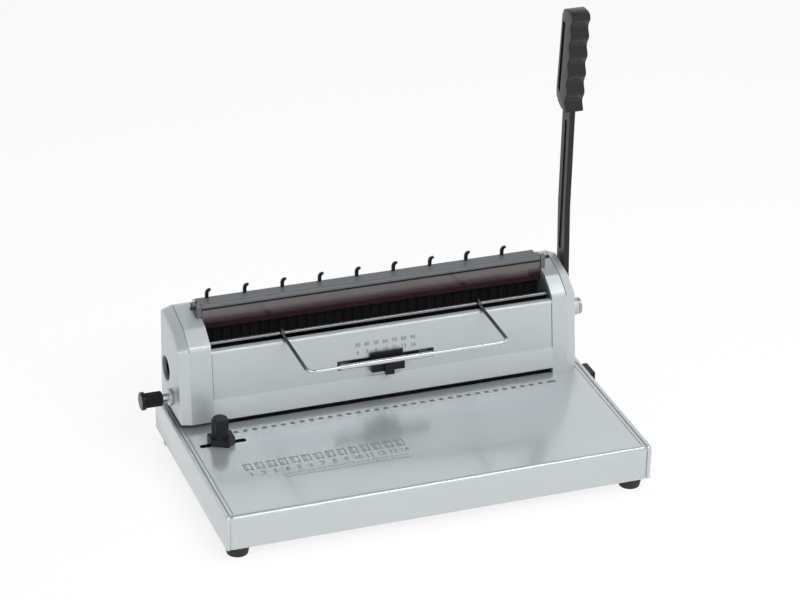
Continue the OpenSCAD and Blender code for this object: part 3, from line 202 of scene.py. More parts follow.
class Value:
    """A shader socket that takes part in Python arithmetic: each operation adds a Math node."""

    def __init__(self, shader, socket):
        self.shader = shader
        self.socket = socket

    def maths(self, operation, first, second):
        return self.shader.node("ShaderNodeMath", {"operation": operation}, {0: first, 1: second})

    def __add__(self, other):
        return self.maths("ADD", self, other)

    def __sub__(self, other):
        return self.maths("SUBTRACT", self, other)

    def __rsub__(self, other):
        return self.maths("SUBTRACT", other, self)

    def __mul__(self, other):
        return self.maths("MULTIPLY", self, other)

    def __or__(self, other):
        return self.maths("MAXIMUM", self, other)

    __radd__ = __add__
    __rmul__ = __mul__
    __ror__ = __or__


class Shader:
    """The node tree of a finish, or of the world, and the coordinates that its patterns are read in."""

    def __init__(self, name, owners="materials", surface="Principled BSDF", place="Object"):
        self.owner = getattr(bpy.data, owners).new(name)
        self.owner.use_nodes = True
        self.tree = self.owner.node_tree
        self.surface = self.tree.nodes[surface]
        self.place = self.node("ShaderNodeTexCoord", output=place)

    def node(self, kind, settings=None, sockets=None, output=0):
        """Adds a node, sets it up, feeds its sockets and gives back one output."""
        made = self.tree.nodes.new(kind)
        for key, value in (settings or {}).items():
            setattr(made, key, value)
        for key, value in (sockets or {}).items():
            self.feed(made.inputs[key], value)
        return Value(self, made.outputs[output])

    def feed(self, socket, value):
        if isinstance(value, Value):
            self.tree.links.new(value.socket, socket)
        else:
            socket.default_value = value

    def noise(self, scale, detail=2.0, stretch=None):
        """Cloudy noise, with its grain drawn out along an axis where stretch is given."""
        place = self.place
        if stretch:
            place = self.node("ShaderNodeMapping", sockets={"Vector": place, "Scale": stretch})
        return self.node("ShaderNodeTexNoise", sockets={"Vector": place, "Scale": scale, "Detail": detail})

    def blend(self, factor, first, second):
        """A mix of two colours."""
        return self.node(
            "ShaderNodeMix", {"data_type": "RGBA"}, {0: factor, 6: (*first, 1), 7: (*second, 1)}, output=2
        )

    def bump(self, height, strength, depth):
        sockets = {"Strength": strength, "Distance": depth, "Height": height}
        return self.node("ShaderNodeBump", sockets=sockets)

    def rise(self, axis, low, high, **settings):
        """A value that climbs from 0 to 1 between two places on an axis."""
        along = self.node("ShaderNodeSeparateXYZ", sockets={0: self.place}, output=axis)
        return self.node("ShaderNodeMapRange", settings, {0: along, 1: low, 2: high})

    def seen_rays(self):
        """A factor that is 1 for rays that show the background: camera, mirror and glass rays."""
        kinds = ("Camera", "Glossy", "Transmission")
        camera, mirror, glass = (self.node("ShaderNodeLightPath", output=f"Is {kind} Ray") for kind in kinds)
        return camera | mirror | glass

    def dress(self, **sockets):
        """Feeds the surface's sockets, named with underscores, and gives back what the tree belongs to."""
        for name, value in sockets.items():
            self.feed(self.surface.inputs[name.replace("_", " ")], value)
        return self.owner


def shaded(tint, share):
    """A tint with every channel times a share: darker below 1 and lighter above."""
    return tuple(channel * share for channel in tint)


def silver_paint(name, tints, metal, roughness):
    """Silver enamel: fine bright flakes under a clear coat with a faint orange peel."""
    s = Shader(name)
    flakes = s.noise(5200, 1)
    return s.dress(
        Base_Color=s.blend(s.noise(7) * 0.6 + flakes * 0.4, tints.paint, tints.paint_shade),
        Metallic=flakes * 0.2 + metal,
        Roughness=s.noise(40) * 0.06 + roughness,
        Coat_Weight=0.4,
        Coat_Roughness=0.05,
        Normal=s.bump(s.noise(420, 1), 0.05, GRAIN),
    )


def printed(name, tint, paint):
    """Ink that is thin enough for the enamel's grain to show."""
    s = Shader(name)
    return s.dress(
        Base_Color=s.blend(s.noise(1500) * 0.3, tint, paint),
        Roughness=s.noise(300) * 0.1 + 0.4,
        Normal=s.bump(s.noise(900), 0.05, FINE_GRAIN),
    )


def moulded_plastic(name, tints, roughness, gloss, grain):
    """Moulded black plastic with a fine spark-eroded grain."""
    s = Shader(name)
    return s.dress(
        Base_Color=s.blend(s.noise(60), tints.black, shaded(tints.black, 1.7)),
        Roughness=s.noise(160) * 0.1 + roughness,
        Specular_IOR_Level=gloss,
        Normal=s.bump(s.noise(2400, 1), grain, GRAIN),
    )


def black_enamel(tints):
    """Satin black enamel on steel, slightly uneven."""
    s = Shader("black_enamel")
    return s.dress(
        Base_Color=s.blend(s.noise(35), tints.enamel, shaded(tints.enamel, 1.5)),
        Roughness=s.noise(90) * 0.12 + 0.3,
        Specular_IOR_Level=0.3,
        Normal=s.bump(s.noise(700, 1), 0.08, GRAIN),
    )


def ground_steel(tints):
    """Steel ground along the machine's width."""
    s = Shader("ground_steel")
    lines = s.noise(900, 3, (0.02, 1, 1))
    return s.dress(
        Base_Color=s.blend(lines, tints.steel, shaded(tints.steel, 0.7)),
        Metallic=1.0,
        Roughness=lines * 0.2 + 0.26,
        Normal=s.bump(lines, 0.12, FINE_GRAIN),
    )


def bright_steel(name, tint):
    """Bright plated steel with faint drawn lines."""
    s = Shader(name)
    lines = s.noise(1200, 2, (0.03, 1, 1))
    return s.dress(
        Base_Color=s.blend(lines, tint, shaded(tint, 0.8)),
        Metallic=1.0,
        Roughness=lines * 0.1 + 0.12,
        Normal=s.bump(lines, 0.04, FINE_GRAIN),
    )


def bail_steel(tints):
    """Bright drawn wire, painted darker along the bail's arms as a painted dark reflection, and bright along
    its cross bar.
    """
    s = Shader("bail_steel")
    lines = s.noise(1200, 2, (0.03, 1, 1))
    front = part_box("wire_bail")[0].y
    bright_depth, dark_reflection_depth = 3 * MM, 7 * MM
    # Painted dark reflection: the wire darkens from the cross bar back along the arms
    arms = s.rise("Y", front + bright_depth, front + dark_reflection_depth)
    return s.dress(
        Base_Color=s.blend(arms, tints.bright, tints.arm_dark_reflection),
        Metallic=1.0,
        Roughness=lines * 0.1 + 0.14,
        Normal=s.bump(lines, 0.04, FINE_GRAIN),
    )


def zinc_plate(tints):
    """Zinc-plated fasteners with a clouded sheen."""
    s = Shader("zinc_plate")
    return s.dress(
        Base_Color=s.blend(s.noise(500), tints.zinc, shaded(tints.zinc, 0.7)),
        Metallic=1.0,
        Roughness=s.noise(900) * 0.2 + 0.25,
    )


def rail_paint(tints):
    """Satin grey paint on the hook rail."""
    s = Shader("rail_paint")
    return s.dress(
        Base_Color=s.blend(s.noise(30), tints.rail, shaded(tints.rail, 1.15)),
        Roughness=s.noise(120) * 0.1 + 0.36,
        Specular_IOR_Level=0.35,
        Normal=s.bump(s.noise(900, 1), 0.06, GRAIN),
    )


def foot_rubber(tints):
    """Matte black rubber with a dusty bloom."""
    s = Shader("foot_rubber")
    return s.dress(
        Base_Color=s.blend(s.noise(140), tints.black, shaded(tints.black, 1.8)),
        Roughness=s.noise(400) * 0.1 + 0.62,
        Normal=s.bump(s.noise(1600), 0.2, GRAIN),
    )


def smoked_acrylic(tints):
    """Smoked acrylic, clouded towards its hinge and painted darker towards its free edge as painted shadow
    from inside the head.
    """
    s = Shader("smoked_acrylic")
    shadow_height, unshaded_height = 7.5 * MM, 12.5 * MM
    # Painted shadow: the flap turns to the darker colour below the shadow's edge
    clouded = s.rise("Z", FLAP_LOW.z + shadow_height, FLAP_LOW.z + unshaded_height)
    return s.dress(
        Base_Color=s.blend(clouded * 0.9 + s.noise(45) * 0.1, tints.smoke_in_shadow, tints.smoke),
        Roughness=s.noise(60) * 0.05 + 0.06,
        Transmission_Weight=0.5,
        IOR=1.49,
    )


def sintered_bronze(tints):
    """Porous bronze of the shaft bushes."""
    s = Shader("sintered_bronze")
    return s.dress(
        Base_Color=s.blend(s.noise(900), tints.bronze, shaded(tints.bronze, 0.6)),
        Metallic=1.0,
        Roughness=s.noise(1500) * 0.2 + 0.35,
        Normal=s.bump(s.noise(2600), 0.2, FINE_GRAIN),
    )


FINISHES = {}


def make_finishes(tints):
    """Makes one finish for each material slot of the record, and the inks."""
    FINISHES.update(
        silver_paint=silver_paint("head_enamel", tints, 0.56, 0.4),
        base_enamel=silver_paint("base_enamel", tints, 0.5, 0.2),
        dark_steel=black_enamel(tints),
        tool_steel=ground_steel(tints),
        bright_steel=bright_steel("bright_steel", tints.bright),
        # The rod's steel is painted darker as painted shade
        rod_steel=bright_steel("rod_steel", tints.rod),
        bail_steel=bail_steel(tints),
        fastener=zinc_plate(tints),
        bronze=sintered_bronze(tints),
        rail_grey=rail_paint(tints),
        black_plastic=moulded_plastic("moulded_plastic", tints, 0.2, 0.2, 0.08),
        grip_plastic=moulded_plastic("grip_plastic", tints, 0.16, 0.36, 0.04),
        # Dull black, also used as painted shade in the edge guide's slot
        dull_black=moulded_plastic("dull_black", tints, 0.55, 0.06, 0.05),
        foot_rubber=foot_rubber(tints),
        smoked_acrylic=smoked_acrylic(tints),
        ink=printed("dark_ink", tints.ink, tints.paint),
        faint_ink=printed("faint_ink", tints.faint_ink, tints.paint),
    )


# Mesh helpers


def new_object(name, mesh):
    piece = bpy.data.objects.new(name, mesh)
    bpy.context.scene.collection.objects.link(piece)
    return piece


def from_bmesh(name, shape):
    """A new object from a shape that is being built."""
    mesh = bpy.data.meshes.new(name)
    shape.to_mesh(mesh)
    shape.free()
    return new_object(name, mesh)


def bake(piece):
    """Turns a piece and its modifiers into a plain mesh."""
    graph = bpy.context.evaluated_depsgraph_get()
    mesh = bpy.data.meshes.new_from_object(piece.evaluated_get(graph))
    piece.modifiers.clear()
    piece.data = mesh
    return piece


def smooth(piece, angle=32):
    """Smooth shading, with edges sharper than an angle left crisp."""
    piece.data.shade_smooth()
    piece.data.set_sharp_from_angle(angle=math.radians(angle))
    return piece


def soften(piece, width, segments=2, angle=32):
    """Rounds a piece's sharp edges."""
    edge = piece.modifiers.new("edge", "BEVEL")
    edge.width = width
    edge.segments = segments
    edge.limit_method = "ANGLE"
    edge.angle_limit = math.radians(angle)
    edge.harden_normals = True
    smooth(piece, angle)
    return bake(piece)


def boolean(piece, operation, *tools):
    """Cuts other shapes out of a piece, or joins them to it, and removes them."""
    for tool in tools:
        step = piece.modifiers.new("boolean", "BOOLEAN")
        step.operation = operation
        step.solver = "EXACT"
        step.object = tool
    bake(piece)
    for tool in tools:
        bpy.data.objects.remove(tool)
    return piece


def skinned(rings, capped=True):
    """A closed shape through rings of points, which ends in flat caps or runs back to its first ring."""
    shape = bmesh.new()
    rings = [[shape.verts.new(point) for point in ring] for ring in rings]
    if capped:
        shape.faces.new(rings[0])
        shape.faces.new(rings[-1])
    else:
        rings.append(rings[0])
    for near, far in zip(rings, rings[1:]):
        for i in range(len(near)):
            j = (i + 1) % len(near)
            shape.faces.new((near[i], near[j], far[j], far[i]))
    bmesh.ops.recalc_face_normals(shape, faces=shape.faces)
    return shape


def loft_shape(stations):
    """A closed shape through outlines in depth and height, each with its place along the width."""
    return skinned([[(x, y, z) for y, z in outline] for x, outline in stations])


def prism(name, outline, x0, x1, rims=(), width=0.0, segments=4):
    """A solid with an outline in depth and height, whose rims at given places are rounded."""
    shape = loft_shape([(x0, outline), (x1, outline)])
    chosen = [e for e in shape.edges if any(all(abs(v.co.x - x) < TOUCH for v in e.verts) for x in rims)]
    if chosen:
        rounding = {"offset": width, "segments": segments, "profile": 0.5, "clamp_overlap": True}
        bmesh.ops.bevel(shape, geom=chosen, affect="EDGES", **rounding)
    return from_bmesh(name, shape)


def arc(y, z, radius, start, end, steps):
    """Points on an arc in depth and height, with angles in degrees."""
    turns = [math.radians(start + (end - start) * i / steps) for i in range(steps + 1)]
    return [(y + radius * math.cos(a), z + radius * math.sin(a)) for a in turns]


def drum(name, x0, x1, radius, axis, sides=64):
    """A round solid along the width, about an axis that is given by its depth and height."""
    return prism(name, arc(*axis, radius, 0, 360, sides)[:-1], x0, x1)


def block(name, low, high):
    """A box shape, used as a cutter."""
    outline = [(low[1], low[2]), (high[1], low[2]), (high[1], high[2]), (low[1], high[2])]
    return prism(name, outline, low[0], high[0])


def plates(name, rectangles, z, thickness):
    """Thin flat plates on a level, one for each low and high corner in plan."""
    shape = bmesh.new()
    for x0, y0, x1, y1 in rectangles:
        middle = Vector(((x0 + x1) / 2, (y0 + y1) / 2, z + thickness / 2))
        place = Matrix.LocRotScale(middle, None, Vector((x1 - x0, y1 - y0, thickness)))
        bmesh.ops.create_cube(shape, size=1, matrix=place)
    return from_bmesh(name, shape)


def number_mesh(text, size, depth):
    """The mesh of a number, flat in plan and centred."""
    curve = bpy.data.curves.new("number", "FONT")
    curve.body = text
    curve.size = size
    curve.extrude = depth / 2
    curve.offset = size * 0.02
    curve.align_x = "CENTER"
    curve.align_y = "CENTER"
    curve.resolution_u = 3
    holder = new_object("number", curve)
    graph = bpy.context.evaluated_depsgraph_get()
    mesh = bpy.data.meshes.new_from_object(holder.evaluated_get(graph))
    bpy.data.objects.remove(holder)
    return mesh


def number_piece(name, numbers, size, depth, place):
    """Numbers joined into one piece: each is a text and the point in plan where it stands."""
    shape = bmesh.new()
    for text, at in numbers:
        mesh = number_mesh(text, size, depth)
        mesh.transform(place @ Matrix.Translation((*at, 0)))
        shape.from_mesh(mesh)
        bpy.data.meshes.remove(mesh)
    return from_bmesh(name, shape)


# Finished pieces


def paint(piece, finish):
    piece.data.materials.clear()
    piece.data.materials.append(FINISHES[finish])


def hand_over(piece, finish, body="frame", stands_for=()):
    """Gives a finished piece its finish, its body and the nodes that it stands for."""
    paint(piece, finish)
    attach(piece, body)
    if stands_for:
        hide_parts(*stands_for)


def stand_for(piece, node, finish=None, slot=None):
    """Hands over a piece that stands for one node, in that node's slot and finish or in other ones."""
    slot = slot or SLOTS[node]
    hand_over(piece, finish or slot, NODES[node]["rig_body"], (node,))


def copy_of(node, name):
    """A copy of a node's mesh with its loose triangles merged into whole faces."""
    shape = bmesh.new()
    shape.from_mesh(NODES[node].data)
    bmesh.ops.remove_doubles(shape, verts=shape.verts, dist=TOUCH)
    flat = math.radians(0.4)
    bmesh.ops.dissolve_limit(shape, angle_limit=flat, verts=shape.verts, edges=shape.edges)
    return from_bmesh(name, shape)


def dressed(node, name, width, segments=2, angle=32, **other):
    """Hands over a node's own shape with softened edges, in its own finish and slot or in other ones."""
    stand_for(soften(copy_of(node, name), width, segments, angle), node, **other)


# Rows of copies, by Geometry Nodes


def row_tree():
    """Copies of a shape in a straight row, as real geometry with its material."""
    tree = bpy.data.node_groups.new("row_of_copies", "GeometryNodeTree")
    inputs = (("Geometry", "Geometry"), ("Count", "Int"), ("Step", "Vector"), ("Material", "Material"))
    for label, kind in inputs:
        tree.interface.new_socket(label, in_out="INPUT", socket_type=f"NodeSocket{kind}")
    tree.interface.new_socket("Geometry", in_out="OUTPUT", socket_type="NodeSocketGeometry")
    source = tree.nodes.new("NodeGroupInput")
    end = tree.nodes.new("NodeGroupOutput")
    kinds = ("MeshLine", "InstanceOnPoints", "RealizeInstances", "SetMaterial")
    line, copied, real, painted = (tree.nodes.new(f"GeometryNode{kind}") for kind in kinds)
    for giver, output, taker, socket in (
        (source, "Count", line, "Count"),
        (source, "Step", line, "Offset"),
        (line, "Mesh", copied, "Points"),
        (source, "Geometry", copied, "Instance"),
        (copied, "Instances", real, "Geometry"),
        (real, "Geometry", painted, "Geometry"),
        (source, "Material", painted, "Material"),
        (painted, "Geometry", end, "Geometry"),
    ):
        tree.links.new(giver.outputs[output], taker.inputs[socket])
    return tree


def in_a_row(piece, count, step, finish):
    """Repeats a piece along the width and leaves a plain mesh."""
    tree = bpy.data.node_groups.get("row_of_copies") or row_tree()
    keys = {item.name: item.identifier for item in tree.interface.items_tree if item.in_out == "INPUT"}
    row = piece.modifiers.new("row", "NODES")
    row.node_group = tree
    row[keys["Count"]] = count
    row[keys["Step"]] = (step, 0, 0)
    row[keys["Material"]] = FINISHES[finish]
    return bake(piece)


def stamped(sizes, name, rectangles, finish, count=1, step=0.0):
    """Ink on top of the base: rectangles in plan, in a row where more than one copy is asked for."""
    piece = plates(name, rectangles, BASE_HIGH.z, sizes.ink)
    if count > 1:
        in_a_row(piece, count, step, finish)
    hand_over(piece, finish)


# Base


def end_plate_outline(sizes):
    """Side outline of the plates at both ends of the base."""
    proud = 0.15 * MM
    radius = 4.5 * MM
    front, rear = BASE_LOW.y - proud, BASE_HIGH.y + proud
    top = BASE_HIGH.z + sizes.plate_proud - radius
    outline = [(front, BASE_LOW.z), (rear, BASE_LOW.z)]
    return outline + arc(rear - radius, top, radius, 0, 90, 8) + arc(front + radius, top, radius, 90, 180, 8)


def end_plates(sizes):
    """The plates at both ends of the base, the seam beside each plate, and a dark line as painted shade
    where the sheet bends beyond the seam.
    """
    outline = end_plate_outline(sizes)
    plate_proud = 0.1 * MM
    fold_shade_near, fold_shade_far = 6.8 * MM, 7.5 * MM
    marks = []
    for side, name, edge in ((-1, "left", BASE_LOW.x), (1, "right", BASE_HIGH.x)):
        inner = edge - side * sizes.end_plate
        ends = sorted((inner, edge + side * plate_proud))
        plate = prism(f"base_end_plate_{name}", outline, *ends, ends, sizes.moulded_edge, 3)
        hand_over(smooth(plate, 40), "base_enamel")
        seam = sorted((inner, inner - side * sizes.plate_seam))
        # Painted shade: an ink line along the sheet's bend beyond the seam
        fold_shade = sorted((edge - side * fold_shade_near, edge - side * fold_shade_far))
        for (x0, x1), inset in ((seam, 5 * MM), (fold_shade, 6 * MM)):
            marks.append((x0, BASE_LOW.y + inset, x1, BASE_HIGH.y - inset))
    stamped(sizes, "base_seams", marks, "ink")


def slot_painted_shade():
    """A dull black wall put in the edge guide's slot as painted shade."""
    radius, wall = 2.8 * MM, 0.15 * MM
    depth, top_play = 2.4 * MM, 0.02 * MM
    left, right, back = 12 * MM, 53 * MM, 95 * MM
    y = BASE_HIGH.y - back
    ends = (BASE_LOW.x + right - radius, BASE_LOW.x + left + radius)
    low, high = BASE_HIGH.z - depth, BASE_HIGH.z - top_play
    turns = [(ends[k], math.radians(k * 180 - 90 + 15 * i)) for k in (0, 1) for i in range(13)]
    rings = []
    for r, z in ((radius, high), (radius, low), (radius - wall, low), (radius - wall, high)):
        rings.append([(x + r * math.cos(a), y + r * math.sin(a), z) for x, a in turns])
    # Painted shade: the slot's wall is dark only in shade, so a dull black wall is put there
    lining = from_bmesh("guide_slot_lining", skinned(rings, capped=False))
    hand_over(smooth(lining, 40), "dull_black")


# Head


def face_at(z, sizes):
    """Depth of the leaning front face at a height."""
    return PANEL_LOW.y + (z - PANEL_LOW.z) * math.tan(sizes.face_lean)


def cap_outline(sizes, low):
    """Side outline of an end cap, which stands a little in front of the panel."""
    proud = sizes.cap_proud
    radius = sizes.shoulder_radius
    shoulder_z = sizes.shoulder_height - radius
    shoulder_y = face_at(shoulder_z, sizes) + radius / math.cos(sizes.face_lean)
    rear = LEFT_CAP_HIGH.y
    soft = sizes.rear_radius
    crease_z = BASE_HIGH.z + sizes.crease_height
    points = [(face_at(low, sizes) - proud, low), (rear, low)]
    for y, z, r in (
        (shoulder_y, shoulder_z, radius + proud * 0.9),
        (rear - sizes.crease_back, crease_z - soft, soft),
        (rear - soft, LEFT_CAP_HIGH.z - soft, soft),
    ):
        points += arc(y, z, r, 0, 360, 72)
    return [points[i] for i in convex_hull_2d(points)]


def drawn_in(outline, amount, floor, foot):
    """An outline drawn in by an amount above a floor, with the points on its foot kept on their level."""
    middle = sum(y for y, z in outline) / len(outline)
    drawn = []
    for i, (y, z) in enumerate(outline):
        before = outline[i - 1]
        after = outline[(i + 1) % len(outline)]
        first = Vector((before[1] - z, y - before[0])).normalized()
        second = Vector((z - after[1], after[0] - y)).normalized()
        step = (first + second) * (amount / (1 + first.dot(second)))
        if z <= foot + TOUCH:
            step = Vector((math.copysign(amount, middle - y), 0))
        drawn.append((y + step.x, z + step.y) if z >= floor else (y, z))
    return drawn


def cap_piece(sizes, name, node, inner, outer, low, hole_radius):
    """An end cap: rounded outer edge, groove beside the rim, hollow inside, ear notch and pivot hole."""
    inward = 1 if inner > outer else -1
    outline = cap_outline(sizes, low)
    groove = sizes.cap_groove
    groove_foot = sizes.shoulder_height - 4 * MM
    pressed = drawn_in(outline, groove, groove_foot, low)
    rim = outer + inward * sizes.cap_rim
    stations = [(inner, outline)]
    for share, ring in ((1, outline), (0.8, pressed), (0.2, pressed), (0, outline)):
        stations.append((rim + inward * groove * share, ring))
    lean = sizes.cap_edge * 0.55
    rounding = sizes.cap_edge - lean
    steps = 5
    for i in range(steps + 1):
        turn = math.pi / 2 * i / steps
        x = outer + inward * rounding * (1 - math.sin(turn))
        inset = lean + rounding * (1 - math.cos(turn))
        stations.append((x, drawn_in(outline, inset, low, low)))
    cap = from_bmesh(name, loft_shape(stations))
    wall = sizes.cap_wall
    room = drawn_in(outline, wall + sizes.cap_edge / 2, low, low)
    room = [(y, z - OVER if z <= low + TOUCH else z) for y, z in room]
    past = inner + inward * OVER
    hollow = prism("hollow", room, *sorted((past, outer + inward * wall)))
    ear_width, ear_front, ear_foot, ear_play = 4.3 * MM, 3.9 * MM, 6 * MM, 0.2 * MM
    ear_x = sorted((past, inner - inward * ear_width))
    ear_low = (ear_x[0], HINGE.y - ear_front, sizes.shoulder_height - ear_foot)
    notch = block("notch", ear_low, (ear_x[1], RAIL_HIGH.y + ear_play, RAIL_HIGH.z))
    hole_depth = 4 * MM
    hole_x = sorted((outer - inward * OVER, outer + inward * hole_depth))
    hole = drum("hole", *hole_x, hole_radius, SHAFT)
    stand_for(smooth(boolean(cap, "DIFFERENCE", hollow, notch, hole), 14), node)


def cap_recess():
    """The lined round recess in the left cap, with a dark bottom that the shaft shows in."""
    low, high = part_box("cap_plug")
    radius = (high.y - low.y) / 2
    wall, shaft_hole, sides = 1 * MM, 6.4 * MM, 72
    mouth, behind, short = 0.3 * MM, 4 * MM, 0.5 * MM
    x0, x1 = LEFT_CAP_LOW.x + mouth, high.x + behind
    lining = drum("cap_recess_lining", x0, x1, radius, SHAFT, sides)
    bore = drum("bore", x0 - OVER, x1 + OVER, radius - wall, SHAFT, sides)
    hand_over(smooth(boolean(lining, "DIFFERENCE", bore), 40), "silver_paint")
    bottom = drum("cap_recess_bottom", high.x, x1 - short, radius - 0.9 * wall, SHAFT, sides)
    bore = drum("bore", low.x, x1 + OVER, shaft_hole, SHAFT, 48)
    stand_for(smooth(boolean(bottom, "DIFFERENCE", bore), 40), "cap_plug")


def panel_rows(sizes):
    """Outer line of the front panel from its lower to its upper lip, and the row where the slot starts."""
    low = PANEL_LOW.z
    crease = low + sizes.strip_height
    proud = sizes.cap_proud
    radius = sizes.panel_edge
    top = PANEL_HIGH.z - radius
    bezel_lap, lip = 1.1 * MM, 5 * MM
    slot = [BEZEL_LOW.z + bezel_lap, BEZEL_HIGH.z - bezel_lap]
    foot = face_at(low, sizes) - proud
    rows = [(PANEL_LOW.y + lip, low)]
    rows += [(foot + d * MM, low + h * MM) for d, h in ((0.9, 0), (0.3, 0.15), (0, 0.7))]
    for below, share in ((0.5 * MM, 1), (0.1 * MM, 0.75)):
        rows.append((face_at(crease - below, sizes) - proud * share, crease - below))
    rows.append((face_at(crease, sizes), crease + 0.05 * MM))
    rows += [(face_at(z, sizes), z) for z in slot]
    middle = face_at(top, sizes) + radius / math.cos(sizes.face_lean)
    rows += arc(middle, top, radius, 180 - math.degrees(sizes.face_lean), 90, 8)
    rows.append((PANEL_HIGH.y, PANEL_HIGH.z))
    return rows, next(i for i, row in enumerate(rows) if row[1] == slot[0])


def panel_piece(sizes):
    """The bent front panel, with the lower strip, the crease and the selector's slot."""
    rows, slot_row = panel_rows(sizes)
    bezel_lap, sheet = 1 * MM, 1.2 * MM
    columns = [PANEL_LOW.x, BEZEL_LOW.x + bezel_lap, BEZEL_HIGH.x - bezel_lap, PANEL_HIGH.x]
    shape = bmesh.new()
    grid = [[shape.verts.new((x, y, z)) for x in columns] for y, z in rows]
    for i in range(len(rows) - 1):
        for j in range(len(columns) - 1):
            if i == slot_row and j == 1:
                continue
            shape.faces.new((grid[i][j], grid[i][j + 1], grid[i + 1][j + 1], grid[i + 1][j]))
    panel = from_bmesh("front_panel_sheet", shape)
    wall = panel.modifiers.new("wall", "SOLIDIFY")
    wall.thickness = sheet
    wall.offset = -1
    stand_for(smooth(bake(panel), 30), "front_panel")


def panel_seams(sizes):
    """The dark joints between the front panel and the end caps, above the crease."""
    low, high = PANEL_LOW.z + sizes.strip_height, PANEL_HIGH.z - sizes.panel_edge
    front = [(face_at(z, sizes) - sizes.ink, z) for z in (low, high)]
    outline = front + [(y + 2 * sizes.ink, z) for y, z in reversed(front)]
    wide = sizes.panel_seam
    for name, x in (("panel_seam_left", PANEL_LOW.x), ("panel_seam_right", PANEL_HIGH.x - wide)):
        hand_over(prism(name, outline, x, x + wide), "ink")


# Top


def hook_piece(sizes):
    """One hook: a short flat strap whose tip curls over to the right."""
    low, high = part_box("wire_hooks")
    play = 0.8 * MM
    wide, tall = sizes.hook_width, high.z - low.z - play
    strap = [(0, 0), (1, 0), (1, 0.5), (1.1, 0.64), (1.35, 0.76), (1.75, 0.84)]
    curl = [(1.7, 0.98), (1.2, 1), (0.6, 0.93), (0.2, 0.78), (0, 0.56)]
    side = [(low.x + x * wide, low.z + z * tall) for x, z in strap + curl]
    shape = skinned([[(x, y, z) for x, z in side] for y in (low.y, high.y)])
    return soften(from_bmesh("rail_hooks", shape), sizes.fine_edge, 2, 40)


def hook_row(sizes):
    """The hooks, spread along the rail."""
    low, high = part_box("wire_hooks")
    hook = hook_piece(sizes)
    places = [v.co.x for v in hook.data.vertices]
    step = (high.x - low.x - (max(places) - min(places))) / (sizes.hook_count - 1)
    stand_for(in_a_row(hook, sizes.hook_count, step, SLOTS["wire_hooks"]), "wire_hooks")


def hinge_leaf():
    """The grey strip that wraps the flap's hinge, and the dark joint below it."""
    play, leaf = 0.02 * MM, 0.2 * MM
    line_proud, line_foot, line_top = 0.15 * MM, 2 * MM, 0.3 * MM
    inner = FLAP_HIGH.z - HINGE.z + play
    start, end = -15, 185
    skin = arc(HINGE.y, HINGE.z, inner + leaf, start, end, 24) + arc(HINGE.y, HINGE.z, inner, end, start, 24)
    strip = prism("flap_hinge_leaf", skin, FLAP_LOW.x, FLAP_HIGH.x)
    hand_over(smooth(strip, 40), "rail_grey", "flap")
    line_low = (FLAP_LOW.x, FLAP_LOW.y - line_proud, HINGE.z - line_foot)
    line = block("flap_hinge_line", line_low, (FLAP_HIGH.x, FLAP_LOW.y, HINGE.z - line_top))
    hand_over(line, "black_plastic", "flap")


def bail_pieces(sizes):
    """The bail's bent wire, and the thicker sleeve on its cross bar."""
    stand_for(smooth(copy_of("wire_bail", "bail_wire"), 50), "wire_bail", "bail_steel")
    wire_radius, sleeve_radius = 1.5 * MM, 2.2 * MM
    sleeve_left, sleeve_right = -55 * MM, 27.5 * MM
    bar = (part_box("wire_bail")[0].y + wire_radius, sum(corner.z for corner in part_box("front_rod")) / 2)
    sleeve = drum("bail_sleeve", sleeve_left, sleeve_right, sleeve_radius, bar, 32)
    hand_over(soften(sleeve, sizes.bolt_edge, 2, 40), "bright_steel", "bail")


def return_coils():
    """The return springs, which stand on the guide plate; the share they would keep under the punch beam is
    worked out but not used.
    """
    low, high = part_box("return_springs")
    stroke = max(map(abs, JOINTS["punch_slide"]["range_m"]))
    tall = high.z - low.z
    coils = smooth(copy_of("return_springs", "return_coils"), 50)
    hand_over(coils, "bright_steel", "frame", ("return_springs",))
    keep = (tall - stroke) / tall
    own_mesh(coils)


# Lever


def grip_outline(sizes):
    """Side outline of the grip: finger waves in front and a smooth heel behind."""
    low, high, rear = GRIP_LOW.z, GRIP_HIGH.z, GRIP_HIGH.y
    depth, shift, crown = 23 * MM, 5.5 * MM, 5 * MM
    steps = 14 * sizes.wave_count
    front = []
    for i in range(steps + 1):
        t = i / steps
        wave = sizes.wave_depth * (1 - math.cos(2 * math.pi * sizes.wave_count * t)) / 2
        front.append((rear - depth - shift * t + wave, low + (high - low - crown) * t))
    tip, heel = front[-1][0], rear - shift
    crown_line = [(tip + 2 * MM, high - 1.5 * MM), (tip + 6 * MM, high), (heel - 8 * MM, high)]
    crown_line += [(heel - 2.5 * MM, high - 2.5 * MM), (heel, high - 8 * MM)]
    foot = [(0.3, 14), (1.5, 8), (6, 3), (13, 0)]
    return front + crown_line + [(rear - y * MM, low + z * MM) for y, z in foot]


